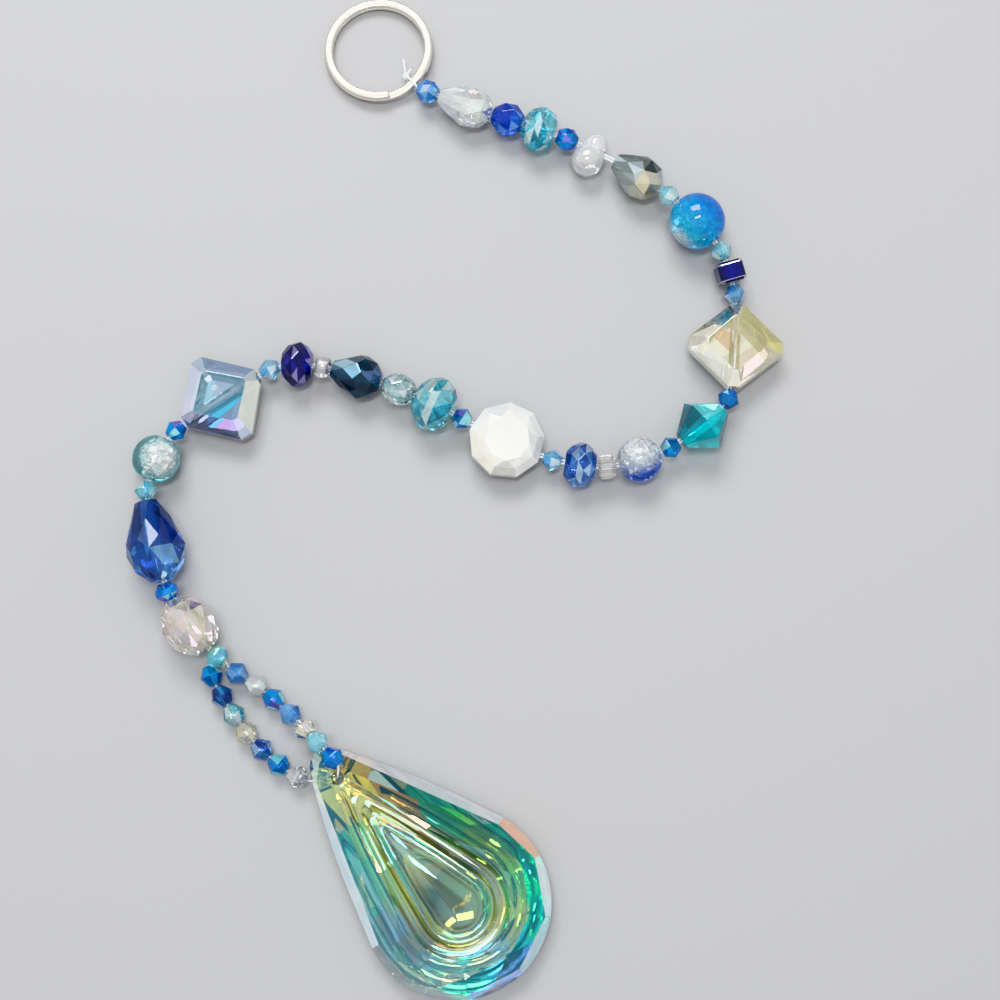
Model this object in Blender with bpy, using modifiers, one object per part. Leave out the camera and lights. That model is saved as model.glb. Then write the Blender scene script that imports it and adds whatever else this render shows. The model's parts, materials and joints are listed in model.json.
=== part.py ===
"""Crystal suncatcher: a strung line of glass beads with a split ring and a teardrop prism.

The string lies on a flat surface in a long S-curve, the way a limp strand is laid down.
It runs from the split ring through one bead after another, parts into a loop of small
bicones, and the loop carries the large crystal drop.  One doubled thread holds it all.
Sizes below are in millimetres; the objects are made in metres, +Z up, with the origin on
the surface under the middle of the whole piece.
"""
import math

import bmesh
import bpy
from mathutils import Matrix, Vector

MM = 0.001
MERGE_WITHIN = 1e-6
FLAT_WITHIN = math.radians(0.4)

# Thread and bores
THREAD_D = 0.4
STRAND_OFFSET = 0.25
BORE_D = 1.44
BORE_SIDES = 8
BORE_CUTTER_LONG = 20.0
BEAD_GAP = 0.3
BEND_ROOM = 1.6
BARE_THREAD_FROM = 1.5
SAG_SLOPE = 0.18
LEAST_AXIS_HEIGHT = 2.0

# Bead forms
STONE_SIDES = 8
BICONE_MOUTH_D = 2.0
BICONE_LEAST_MOUTH = 0.15
SQUARE_THICK = 5.4
SQUARE_TABLE = 7.2
SQUARE_GIRDLE = 1.9
SQUARE_CORNER_CUT = 2.2
SQUARE_TABLE_CUT = 0.8
DISC_SIDES = 9
DISC_THICK = 5.4
DISC_LEVELS = ((2.0, 1.0, 0.25), (4.2, 0.8, 0.25), (DISC_THICK, 0.58, 0.75))
CUBE_CHAMFER = 0.11
BALL_SIDES = 16
BALL_RINGS = 7
SEED_SIDES = 12
SEED_RINGS = 8
NUGGET_BIG = (-2.0, 2.85)
NUGGET_SMALL = (1.4, 1.95)
NUGGET_WAIST = 1.7
NUGGET_POLE = 0.01
NUGGET_SIDES = 14
NUGGET_RINGS = 12
SHARP_FROM = math.radians(50)

# Split ring
RING_OUTER_D = 19.8
RING_WIRE_WIDE = 1.5
RING_WIRE_HIGH = 0.85
RING_WIRE_CHAMFER = 0.22
RING_TURN_GAP = 0.1
RING_STEPS_PER_TURN = 40
RING_JOG_FROM = math.radians(-76)
RING_JOG_TO = math.radians(-28)
RING_TIE = math.radians(-46.5)
RING_TILT = math.radians(3.2)
RING_THREAD_CLEAR = 0.38
KNOT_D = 1.6
KNOT_SHIFT = 0.15
TAILS = ((3.0, math.radians(-8)), (1.6, math.radians(-50)))

# Crystal drop; an outline is its start and end from the tip, its width and its corner radius
DROP_LENGTH = 50.0
DROP_WIDTH = 31.5
DROP_TIP_R = 3.3
DROP_SIDE_SWELL = 0.022
DROP_HEADING = math.radians(-45.7)
DROP_HOLE_D = 2.2
DROP_HOLE_FROM_TIP = 5.9
DROP_HOLE_SIDES = 12
DROP_HOLE_CUTTER_LONG = 30.0
DROP_BACK = (11.4, 43.5, 18.8, 0.9)
DROP_GIRDLE_LOW = 2.2
DROP_GIRDLE_HIGH = 3.3
DROP_THIN_TIP = 0.55
DROP_FULL_FROM = 22.0
DROP_POINTS_ROUND = 18
DROP_POINTS_SIDE = 5
DROP_POINTS_TIP = 6

# Its front from the rim inwards, as outlines and heights
DROP_FRONT = (
    ((2.8, 47.2, 26.2, 1.6), 5.3),
    ((6.6, 44.3, 19.4, 1.4), 7.8),
    ((10.4, 41.8, 14.4, 1.1), 6.9),
    ((14.5, 40.2, 11.2, 0.9), 8.1),
    ((17.2, 39.2, 9.0, 0.8), 7.3),
    ((19.6, 38.1, 6.8, 0.7), 8.7),
    ((23.5, 36.9, 4.4, 0.6), 9.3),
    ((28.0, 35.6, 2.0, 0.5), 9.5),
)

# Colours as (red, green, blue), roughness, metallic, transmission
MATERIALS = {
    "clear": ((0.93, 0.95, 0.97), 0.03, 0.0, 1.0),
    "clear_rose": ((0.95, 0.90, 0.92), 0.03, 0.0, 1.0),
    "clear_aurora": ((0.95, 0.94, 0.90), 0.03, 0.0, 1.0),
    "light_sapphire": ((0.20, 0.45, 0.85), 0.03, 0.0, 1.0),
    "sapphire": ((0.05, 0.22, 0.70), 0.03, 0.0, 1.0),
    "cobalt": ((0.01, 0.04, 0.55), 0.03, 0.0, 1.0),
    "cobalt_aurora": ((0.05, 0.06, 0.60), 0.03, 0.0, 1.0),
    "light_blue": ((0.35, 0.70, 0.95), 0.03, 0.0, 1.0),
    "pale_aqua": ((0.30, 0.80, 0.90), 0.03, 0.0, 1.0),
    "aqua": ((0.10, 0.70, 0.80), 0.03, 0.0, 1.0),
    "capri": ((0.00, 0.38, 0.90), 0.03, 0.0, 1.0),
    "turquoise": ((0.00, 0.60, 0.70), 0.03, 0.0, 1.0),
    "smoke": ((0.30, 0.40, 0.50), 0.03, 0.0, 1.0),
    "montana": ((0.01, 0.06, 0.16), 0.03, 0.0, 1.0),
    "azure_crackle": ((0.05, 0.50, 0.90), 0.10, 0.0, 0.9),
    "blue_white_crackle": ((0.40, 0.65, 0.95), 0.10, 0.0, 0.9),
    "teal_white_crackle": ((0.35, 0.80, 0.85), 0.10, 0.0, 0.9),
    "pearl": ((0.90, 0.89, 0.85), 0.15, 0.0, 0.0),
    "ring_metal": ((0.82, 0.79, 0.72), 0.22, 1.0, 0.0),
    "thread": ((0.92, 0.94, 0.95), 0.25, 0.0, 0.6),
    "drop_crystal": ((0.70, 0.90, 0.85), 0.02, 0.0, 1.0),
}

# The string from the ring to the loop: name, kind, length along the bore, width, material
STRAND = (
    ("bead_01_light_sapphire_round", "round", 3.9, 4.1, "light_sapphire"),
    ("bead_02_clear_teardrop", "teardrop", 9.9, 7.6, "clear_rose"),
    ("bead_03_cobalt_round", "round", 5.6, 5.8, "cobalt"),
    ("bead_04_aqua_rondelle", "rondelle", 5.7, 8.2, "aqua"),
    ("bead_05_cobalt_aurora_round", "round", 3.8, 4.0, "cobalt_aurora"),
    ("bead_06_clear_nugget", "nugget", 4.6, 8.4, "clear"),
    ("bead_07_smoke_teardrop", "teardrop", 9.4, 7.9, "smoke"),
    ("bead_08_pale_aqua_bicone", "bicone", 3.3, 4.0, "pale_aqua"),
    ("bead_09_azure_crackle_ball", "ball", 9.5, 10.2, "azure_crackle"),
    ("bead_10_pale_aqua_bicone", "bicone", 3.2, 4.0, "pale_aqua"),
    ("bead_11_navy_cube", "cube", 3.8, 4.6, "cobalt"),
    ("bead_12_light_sapphire_bicone", "bicone", 3.1, 4.0, "light_sapphire"),
    ("bead_13_clear_square", "square", 15.2, 16.4, "clear_aurora"),
    ("bead_14_cobalt_aurora_bicone", "bicone", 3.2, 4.0, "cobalt_aurora"),
    ("bead_15_turquoise_bicone", "bicone", 9.1, 10.0, "turquoise"),
    ("bead_16_cobalt_bicone", "bicone", 3.2, 4.0, "cobalt_aurora"),
    ("bead_17_blue_crackle_ball", "ball", 7.4, 8.1, "blue_white_crackle"),
    ("bead_18_clear_cube", "cube", 3.0, 3.7, "clear"),
    ("bead_19_sapphire_rondelle", "rondelle", 5.4, 8.0, "light_sapphire"),
    ("bead_20_light_blue_bicone", "bicone", 3.2, 4.0, "light_blue"),
    ("bead_21_pearl_disc", "disc", 13.2, 13.3, "pearl"),
    ("bead_22_cobalt_bicone", "bicone", 3.2, 4.0, "cobalt_aurora"),
    ("bead_23_aqua_rondelle", "rondelle", 6.7, 9.8, "aqua"),
    ("bead_24_clear_oval", "oval", 5.9, 5.6, "clear"),
    ("bead_25_montana_teardrop", "teardrop_turned", 8.9, 7.9, "montana"),
    ("bead_26_clear_seed", "seed", 2.6, 4.1, "clear"),
    ("bead_27_cobalt_rondelle", "rondelle", 5.2, 8.0, "cobalt"),
    ("bead_28_light_blue_bicone", "bicone", 3.5, 4.0, "light_blue"),
    ("bead_29_clear_square", "square", 15.1, 16.4, "clear_aurora"),
    ("bead_30_cobalt_aurora_bicone", "bicone", 3.2, 4.0, "cobalt_aurora"),
    ("bead_31_teal_crackle_ball", "ball", 7.6, 8.5, "teal_white_crackle"),
    ("bead_32_pale_aqua_bicone", "bicone", 3.0, 4.0, "pale_aqua"),
    ("bead_33_sapphire_teardrop", "teardrop", 14.0, 10.3, "sapphire"),
    ("bead_34_cobalt_aurora_round", "round", 3.1, 4.0, "cobalt_aurora"),
    ("bead_35_clear_oval", "oval", 10.1, 9.2, "clear_aurora"),
    ("bead_36_aqua_aurora_round", "round", 3.2, 4.0, "pale_aqua"),
)
GAP_AFTER = {
    "bead_05_cobalt_aurora_round": 0.6,
    "bead_06_clear_nugget": 2.2,
    "bead_17_blue_crackle_ball": 0.4,
    "bead_26_clear_seed": 0.4,
    "bead_33_sapphire_teardrop": 0.2,
    "bead_34_cobalt_aurora_round": 0.2,
}

LOOP_BICONE = ("bicone", 3.45, 4.0)
LOOP_LEFT = (
    ("loop_left_1_cobalt_aurora", "cobalt_aurora"),
    ("loop_left_2_sapphire", "sapphire"),
    ("loop_left_3_aqua", "aqua"),
    ("loop_left_4_clear_aurora", "clear_aurora"),
    ("loop_left_5_sapphire", "sapphire"),
    ("loop_left_6_capri", "capri"),
    ("loop_left_7_clear", "clear"),
)
LOOP_RIGHT = (
    ("loop_right_1_light_sapphire", "light_sapphire"),
    ("loop_right_2_clear_rose", "clear_rose"),
    ("loop_right_3_cobalt_aurora", "cobalt_aurora"),
    ("loop_right_4_light_sapphire", "light_sapphire"),
    ("loop_right_5_clear_aurora", "clear_aurora"),
    ("loop_right_6_pale_aqua", "pale_aqua"),
    ("loop_right_7_cobalt", "cobalt_aurora"),
)

# Where things lie: the ring and the drop in plan, and work points of the string's route
RING_CENTRE = Vector((-15.1, 78.9, 0))
DROP_TIP = Vector((-24.0, -47.8, 0))
STRAND_ROUTE = (
    (-7.7, 70.9), (1.0, 66.8), (8.7, 64.6), (14.4, 62.3), (19.6, 60.8), (25.3, 58.0),
    (32.3, 53.6), (42.4, 45.1), (47.6, 36.6), (49.6, 22.8), (47.2, 13.5), (42.8, 8.0),
    (32.0, 2.2), (21.8, 1.0), (8.6, 5.0), (-3.7, 11.7), (-17.4, 17.2), (-28.0, 19.3),
    (-33.2, 18.5), (-41.9, 13.1), (-49.9, 7.0), (-53.1, 1.7), (-54.0, -3.2), (-52.2, -12.3),
    (-49.7, -21.0), (-46.0, -27.4), (-39.8, -32.6),
)
LEFT_ROUTE = (
    (-42.8, -33.3, 2.0), (-42.4, -35.2, 2.0), (-40.3, -38.4, 2.0), (-38.1, -41.6, 2.0),
    (-35.8, -44.9, 2.0), (-33.0, -47.6, 2.0), (-30.2, -50.1, 2.0), (-27.3, -51.9, 2.0),
    (-24.3, -53.3, 2.0),
)
RIGHT_ROUTE = (
    (-39.2, -33.6, 2.9), (-38.0, -34.4, 2.5), (-35.2, -36.1, 2.1), (-32.4, -38.1, 2.0),
    (-29.7, -40.4, 2.1), (-27.0, -42.8, 3.1), (-24.2, -45.4, 5.2), (-21.3, -48.1, 7.2),
    (-20.0, -49.4, 7.5), (-18.5, -51.0, 7.5),
)
LEAVING_LEFT = (
    (-39.8, -33.1, 3.4), (-39.9, -33.5, 2.6), (-40.4, -33.5, 1.9), (-41.1, -32.9, 1.5),
    (-41.9, -32.1, 1.4), (-42.6, -32.0, 1.7), (-42.9, -32.7, 2.0),
)
LEAVING_RIGHT = ((-39.35, -32.8, 3.6), (-39.3, -33.25, 3.1))
ROUTE_SAMPLES_PER_SPAN = 400


def clear_scene():
    for obj in list(bpy.data.objects):
        bpy.data.objects.remove(obj, do_unlink=True)


def new_collection(name):
    collection = bpy.data.collections.new(name)
    bpy.context.scene.collection.children.link(collection)
    return collection


def make_material(name, colour, roughness, metallic, transmission):
    material = bpy.data.materials.new(name)
    material.use_nodes = True
    shader = material.node_tree.nodes["Principled BSDF"]
    shader.inputs["Base Color"].default_value = (*colour, 1.0)
    shader.inputs["Roughness"].default_value = roughness
    shader.inputs["Metallic"].default_value = metallic
    shader.inputs["Transmission Weight"].default_value = transmission
    material.diffuse_color = (*colour, 1.0)
    return material


def finished_mesh(bm, name):
    """Scale a shape drawn in millimetres to metres and hand it over as a mesh."""
    bmesh.ops.scale(bm, vec=(MM, MM, MM), verts=bm.verts)
    bmesh.ops.recalc_face_normals(bm, faces=bm.faces)
    mesh = bpy.data.meshes.new(name)
    bm.to_mesh(mesh)
    bm.free()
    return mesh


def evaluated_mesh(guide):
    """The closed mesh of a guide object as evaluated; the guide itself is removed."""
    evaluated = guide.evaluated_get(bpy.context.evaluated_depsgraph_get())
    mesh = bpy.data.meshes.new_from_object(evaluated)
    mesh.name = guide.name
    bpy.data.objects.remove(guide, do_unlink=True)
    bm = bmesh.new()
    bm.from_mesh(mesh)
    bmesh.ops.remove_doubles(bm, verts=bm.verts, dist=MERGE_WITHIN)
    bmesh.ops.recalc_face_normals(bm, faces=bm.faces)
    bm.to_mesh(mesh)
    bm.free()
    return mesh


def poly_curve(points, cyclic, name):
    """A curve object through points given in millimetres."""
    curve = bpy.data.curves.new(name, "CURVE")
    curve.dimensions = "3D"
    spline = curve.splines.new("POLY")
    spline.points.add(len(points) - 1)
    for spot, point in zip(spline.points, points):
        spot.co = (*(point * MM), 1.0)
    spline.use_cyclic_u = cyclic
    guide = bpy.data.objects.new(name, curve)
    bpy.context.scene.collection.objects.link(guide)
    return guide


def skin(bm, sections):
    """Join successive rings of points, each of the same count, and cap both ends."""
    rings = [[bm.verts.new(point) for point in section] for section in sections]
    for ring, following in zip(rings, rings[1:]):
        for k in range(len(ring)):
            bm.faces.new((ring[k - 1], ring[k], following[k], following[k - 1]))
    bm.faces.new(rings[0])
    bm.faces.new(rings[-1])


# Cut stones: rings of corners round the bore, closed by flat facets

def ring_of_corners(level, radius, sides, turn):
    """Corners at one level along the axis; turn shifts them by a share of one side."""
    step = 2 * math.pi / sides
    return [(level, radius * math.cos((k + turn) * step), radius * math.sin((k + turn) * step))
            for k in range(sides)]


def cut_stone(corners, name):
    bm = bmesh.new()
    for corner in corners:
        bm.verts.new(corner)
    hull = bmesh.ops.convex_hull(bm, input=bm.verts)
    inside = [v for v in hull["geom_interior"] if isinstance(v, bmesh.types.BMVert)]
    bmesh.ops.delete(bm, geom=inside, context="VERTS")
    bmesh.ops.dissolve_limit(bm, angle_limit=FLAT_WITHIN, verts=bm.verts, edges=bm.edges)
    return finished_mesh(bm, name)


def stone_from_profile(profile, length, width, name):
    """profile lists (share of length, share of width, turn) from one bore mouth to the other."""
    corners = []
    for along, across, turn in profile:
        corners += ring_of_corners(along * length, across * width, STONE_SIDES, turn)
    return cut_stone(corners, name)


def make_bicone(length, width, name):
    mouth = max(BICONE_MOUTH_D / width / 2, BICONE_LEAST_MOUTH)
    return stone_from_profile(((-0.5, mouth, 0), (0, 0.5, 0), (0.5, mouth, 0)), length, width, name)


def make_round(length, width, name):
    profile = ((-0.5, 0.27, 0.5), (-0.18, 0.5, 0), (0.18, 0.5, 0.5), (0.5, 0.27, 0))
    return stone_from_profile(profile, length, width, name)


def make_rondelle(length, width, name):
    profile = ((-0.5, 0.27, 0.5), (-0.33, 0.41, 0), (-0.1, 0.5, 0.5),
               (0.1, 0.5, 0), (0.33, 0.41, 0.5), (0.5, 0.27, 0))
    return stone_from_profile(profile, length, width, name)


def make_oval(length, width, name):
    profile = ((-0.5, 0.22, 0.5), (-0.35, 0.39, 0), (-0.12, 0.49, 0.5),
               (0.12, 0.5, 0), (0.35, 0.39, 0.5), (0.5, 0.22, 0))
    return stone_from_profile(profile, length, width, name)


def make_teardrop(length, width, name, narrow_end=-1):
    """Narrow at one bore mouth; narrow_end is the sign of that end along the bore."""
    profile = ((0.5, 0.19, 0.5), (0.26, 0.35, 0), (0.01, 0.47, 0.5),
               (-0.12, 0.5, 0), (-0.35, 0.4, 0.5), (-0.5, 0.18, 0))
    turned = [(narrow_end * along, across, turn) for along, across, turn in profile]
    return stone_from_profile(turned, length, width, name)


def make_teardrop_turned(length, width, name):
    return make_teardrop(length, width, name, narrow_end=1)


def make_square(length, width, name):
    """Flat square with cut corners, bored from corner to corner, a table on both faces."""
    table = math.sqrt(2) * SQUARE_TABLE
    levels = ((SQUARE_GIRDLE, length, width, SQUARE_CORNER_CUT),
              (SQUARE_THICK, table, table, SQUARE_TABLE_CUT))
    corners = []
    for thick, long, wide, cut in levels:
        for z in (-thick / 2, thick / 2):
            for end in (-0.5, 0.5):
                for side in (-0.5, 0.5):
                    corners.append((end * long, side * cut, z))
                    corners.append((side * cut, end * wide, z))
    return cut_stone(corners, name)


def make_disc(length, width, name):
    """Flat many-sided stone: girdle, rim facets and a table on both faces.

    The bore leaves through facets, so its stated length is a little under the width.
    """
    corners = []
    for thick, share, turn in DISC_LEVELS:
        ring = ring_of_corners(thick / 2, share * width / 2, DISC_SIDES, turn)
        corners += [(x, y, z) for level, x, y in ring for z in (-level, level)]
    return cut_stone(corners, name)


def make_cube(length, width, name):
    bm = bmesh.new()
    bmesh.ops.create_cube(bm, size=1.0)
    bmesh.ops.scale(bm, vec=(length, width, width), verts=bm.verts)
    bmesh.ops.bevel(bm, geom=bm.edges, offset=CUBE_CHAMFER * width, segments=1, affect="EDGES")
    return finished_mesh(bm, name)


# Turned beads, with the bore as part of the turned section

def turned_mesh(section, steps, name):
    """Turn a closed section of (level, radius) once round the bore, with a Screw modifier."""
    bm = bmesh.new()
    corners = [bm.verts.new((level, radius, 0)) for level, radius in section]
    for k, corner in enumerate(corners):
        bm.edges.new((corners[k - 1], corner))
    outline = bpy.data.meshes.new(name)
    bmesh.ops.scale(bm, vec=(MM, MM, MM), verts=bm.verts)
    bm.to_mesh(outline)
    bm.free()
    turned = bpy.data.objects.new(name, outline)
    bpy.context.scene.collection.objects.link(turned)
    screw = turned.modifiers.new("turn", "SCREW")
    screw.axis = "X"
    screw.steps = steps
    screw.render_steps = steps
    screw.use_merge_vertices = True
    screw.merge_threshold = MERGE_WITHIN
    return evaluated_mesh(turned)


def make_ball(length, width, name):
    """Round bead; its bore mouths cut the poles flat at the stated length."""
    mouth = math.acos(length / width)
    section = []
    for k in range(BALL_RINGS + 1):
        angle = mouth + (math.pi - 2 * mouth) * k / BALL_RINGS
        section.append((width / 2 * math.cos(angle), width / 2 * math.sin(angle)))
    section += [(-length / 2, BORE_D / 2), (length / 2, BORE_D / 2)]
    return turned_mesh(section, BALL_SIDES, name)


def make_seed(length, width, name):
    """Small rounded ring bead: an oval section turned round the bore."""
    middle = (width + BORE_D) / 4
    half = (width - BORE_D) / 4
    angles = [2 * math.pi * k / SEED_RINGS for k in range(SEED_RINGS)]
    section = [(length / 2 * math.cos(a), middle + half * math.sin(a)) for a in angles]
    return turned_mesh(section, SEED_SIDES, name)


def lobe_radius(y, centre, radius):
    return math.sqrt(max(0.0, radius ** 2 - (y - centre) ** 2))


def make_nugget(length, width, name):
    """Tumbled pebble of two lobes side by side, bored across between them.

    A sphere with its poles along Y is drawn out to the radius of the two lobes at each level.
    """
    bm = bmesh.new()
    bmesh.ops.create_uvsphere(bm, u_segments=NUGGET_SIDES, v_segments=NUGGET_RINGS, radius=1.0)
    bmesh.ops.rotate(bm, verts=bm.verts, matrix=Matrix.Rotation(math.pi / 2, 3, "X"))
    low = NUGGET_BIG[0] - NUGGET_BIG[1]
    high = NUGGET_SMALL[0] + NUGGET_SMALL[1]
    for corner in bm.verts:
        pole = corner.co.y
        y = (high + low + (high - low) * pole) / 2
        out = math.sqrt(max(0.0, 1 - pole * pole))
        radius = (lobe_radius(y, *NUGGET_BIG) ** 4 + lobe_radius(y, *NUGGET_SMALL) ** 4
                  + (NUGGET_WAIST * out) ** 4) ** 0.25
        reach = radius / out if out > NUGGET_POLE else 0.0
        corner.co = Vector((corner.co.x * reach, y, corner.co.z * reach)) * width / (high - low)
    return finished_mesh(bm, name)


BEAD_MAKERS = {
    "bicone": make_bicone,
    "round": make_round,
    "rondelle": make_rondelle,
    "oval": make_oval,
    "teardrop": make_teardrop,
    "teardrop_turned": make_teardrop_turned,
    "square": make_square,
    "disc": make_disc,
    "cube": make_cube,
    "ball": make_ball,
    "seed": make_seed,
    "nugget": make_nugget,
}
ALREADY_BORED = ("ball", "seed")
ROUNDED = ("ball", "seed", "nugget")
LYING_FLAT = {"square": SQUARE_THICK / 2, "disc": DISC_THICK / 2, "nugget": NUGGET_BIG[1]}


def resting_height(kind, width):
    """Height of the bore when the bead lies on the surface."""
    return LYING_FLAT.get(kind, width / 2)


# The route of the string

def smooth_route(points):
    """Catmull-Rom curve through the work points, as closely spaced points."""
    ends = [2 * points[0] - points[1]] + points + [2 * points[-1] - points[-2]]
    curve = []
    for a, b, c, d in zip(ends, ends[1:], ends[2:], ends[3:]):
        for k in range(ROUTE_SAMPLES_PER_SPAN):
            t = k / ROUTE_SAMPLES_PER_SPAN
            curve.append(0.5 * (2 * b + t * (c - a) + t * t * (2 * a - 5 * b + 4 * c - d)
                                + t ** 3 * (3 * b - a - 3 * c + d)))
    return curve + [points[-1]]


def step_along(curve, index, distance):
    """Index of the first point at that straight distance from the point at index."""
    start = curve[index]
    while index < len(curve) - 1 and (curve[index] - start).length < distance:
        index += 1
    return index


def lay_beads(curve, beads, gaps):
    """Give each bead (name, length) its two bore mouths, one bead after the other."""
    mouths = {}
    index = 0
    for name, length in beads:
        end = step_along(curve, index, length)
        mouths[name] = (curve[index], curve[end])
        index = step_along(curve, end, gaps[name])
    return mouths


def raise_string(mouths, gaps):
    """Lift the bores: each bead rests on the surface, and the string sags from the tall ones."""
    spans = []
    along = 0.0
    for name, kind, length, width, _ in STRAND:
        spans.append((along, along + length, resting_height(kind, width)))
        along += length + gaps[name]

    def height(at):
        held = [rest - SAG_SLOPE * max(0.0, first - at, at - last) for first, last, rest in spans]
        return max(held + [LEAST_AXIS_HEIGHT])

    for (name, *_), (first, last, _) in zip(STRAND, spans):
        start, end = mouths[name]
        mouths[name] = (Vector((start.x, start.y, height(first))),
                        Vector((end.x, end.y, height(last))))


def widen_at_bends(gaps, mouths):
    """Where two beads meet at an angle, part them so that their mouths' rims stay clear."""
    names = list(mouths)
    for name, following in zip(names, names[1:]):
        (start, end), (next_start, next_end) = mouths[name], mouths[following]
        bend = (end - start).angle(next_end - next_start)
        gaps[name] = GAP_AFTER.get(name, BEAD_GAP) + BEND_ROOM * math.tan(bend / 2)


def lay_string():
    """Bore mouths of every bead, in millimetres, for the string and both loop branches."""
    laid = {}
    string = [(name, length) for name, _, length, _, _ in STRAND]
    branches = [[(name, LOOP_BICONE[1]) for name, _ in beads] for beads in (LOOP_LEFT, LOOP_RIGHT)]
    plan = [Vector((x, y, 0)) for x, y in STRAND_ROUTE]
    for beads, route in zip([string] + branches, (plan, LEFT_ROUTE, RIGHT_ROUTE)):
        curve = smooth_route([Vector(point) for point in route])
        gaps = {name: BEAD_GAP for name, _ in beads}
        for _ in range(3):
            mouths = lay_beads(curve, beads, gaps)
            if beads is string:
                raise_string(mouths, gaps)
            widen_at_bends(gaps, mouths)
        laid.update(mouths)
    return laid


def lying_along(start, end):
    """Placement with X along the bore and Z as near up as the bore allows."""
    along = (end - start).normalized()
    across = Vector((0, 0, 1)).cross(along).normalized()
    turn = Matrix((along, across, along.cross(across))).transposed().to_4x4()
    return Matrix.Translation((start + end) / 2 * MM) @ turn


# Objects

def add_object(name, mesh, collection, parent, material=None, placement=None):
    obj = bpy.data.objects.new(name, mesh)
    collection.objects.link(obj)
    obj.parent = parent
    if placement:
        obj.matrix_local = placement
    if material:
        if not mesh.materials:
            mesh.materials.append(None)
        obj.material_slots[0].link = "OBJECT"
        obj.material_slots[0].material = material
    return obj


def add_cutter(name, mesh, cutters, parent, placement=None):
    cutter = add_object(name, mesh, cutters, parent, placement=placement)
    cutter.hide_render = True
    cutter.display_type = "WIRE"
    return cutter


def boolean(obj, other, operation):
    joint = obj.modifiers.new(other.name, "BOOLEAN")
    joint.operation = operation
    joint.solver = "EXACT"
    joint.object = other


def cylinder_mesh(diameter, depth, sides, name):
    bm = bmesh.new()
    bmesh.ops.create_cone(bm, cap_ends=True, segments=sides, radius1=diameter / 2,
                          radius2=diameter / 2, depth=depth)
    return finished_mesh(bm, name)


def bored(mesh, bore):
    """The same shape with its bore cut along X."""
    guide = bpy.data.objects.new(mesh.name, mesh)
    bpy.context.scene.collection.objects.link(guide)
    boolean(guide, bore, "DIFFERENCE")
    return evaluated_mesh(guide)


def make_beads(mouths, parts, cutters, root, materials):
    """Every bead is its own object; beads of one kind and size share a mesh."""
    across = Matrix.Rotation(math.pi / 2, 4, "Y")
    bore = add_cutter("bore", cylinder_mesh(BORE_D, BORE_CUTTER_LONG, BORE_SIDES, "bore"), cutters,
                      root, across)
    loop_beads = [(name, *LOOP_BICONE, material) for name, material in LOOP_LEFT + LOOP_RIGHT]
    shapes = {}
    for name, kind, length, width, material in list(STRAND) + loop_beads:
        shape = (kind, length, width)
        if shape not in shapes:
            mesh = BEAD_MAKERS[kind](length, width, kind)
            shapes[shape] = mesh if kind in ALREADY_BORED else bored(mesh, bore)
            if kind in ROUNDED:
                shapes[shape].shade_smooth()
                shapes[shape].set_sharp_from_angle(angle=SHARP_FROM)
        add_object(name, shapes[shape], parts, root, materials[material], lying_along(*mouths[name]))


def tie_direction():
    return Vector((math.cos(RING_TIE), math.sin(RING_TIE), 0))


def ring_lift(point):
    """The ring rests on its far edge and is propped up where the thread is tied."""
    from_far_edge = (point - RING_CENTRE).dot(tie_direction()) + RING_OUTER_D / 2
    return from_far_edge * math.tan(RING_TILT)


def wire_section():
    """Outline of the flat wire with its edges broken, as a curve in its own XY plane."""
    half_w, half_h, cut = RING_WIRE_WIDE / 2, RING_WIRE_HIGH / 2, RING_WIRE_CHAMFER
    corners = ((half_w, cut - half_h), (half_w, half_h - cut), (half_w - cut, half_h),
               (cut - half_w, half_h), (-half_w, half_h - cut), (-half_w, cut - half_h),
               (cut - half_w, -half_h), (half_w - cut, -half_h))
    return poly_curve([Vector((x, y, 0)) for x, y in corners], True, "wire_section")


def make_split_ring(parts, root, material):
    """Flat wire in two layers, with one short jog from the lower to the upper."""
    pitch = RING_WIRE_HIGH + RING_TURN_GAP
    layer = 2 * math.pi - (RING_JOG_TO - RING_JOG_FROM)
    whole = layer + 2 * math.pi
    steps = round(RING_STEPS_PER_TURN * whole / (2 * math.pi))
    middle_r = (RING_OUTER_D - RING_WIRE_WIDE) / 2
    points = []
    for k in range(steps + 1):
        travelled = whole * k / steps
        ramp = min(max((travelled - layer) / (2 * math.pi - layer), 0.0), 1.0)
        angle = RING_JOG_TO + travelled
        point = RING_CENTRE + middle_r * Vector((math.cos(angle), math.sin(angle), 0))
        point.z = RING_WIRE_HIGH / 2 + pitch * ramp * ramp * (3 - 2 * ramp) + ring_lift(point)
        points.append(point)
    wire = poly_curve(points, False, "split_ring")
    section = wire_section()
    wire.data.twist_mode = "Z_UP"
    wire.data.bevel_mode = "OBJECT"
    wire.data.bevel_object = section
    wire.data.use_fill_caps = True
    mesh = evaluated_mesh(wire)
    bpy.data.objects.remove(section, do_unlink=True)
    add_object("split_ring", mesh, parts, root, material)


# The crystal drop

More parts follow.
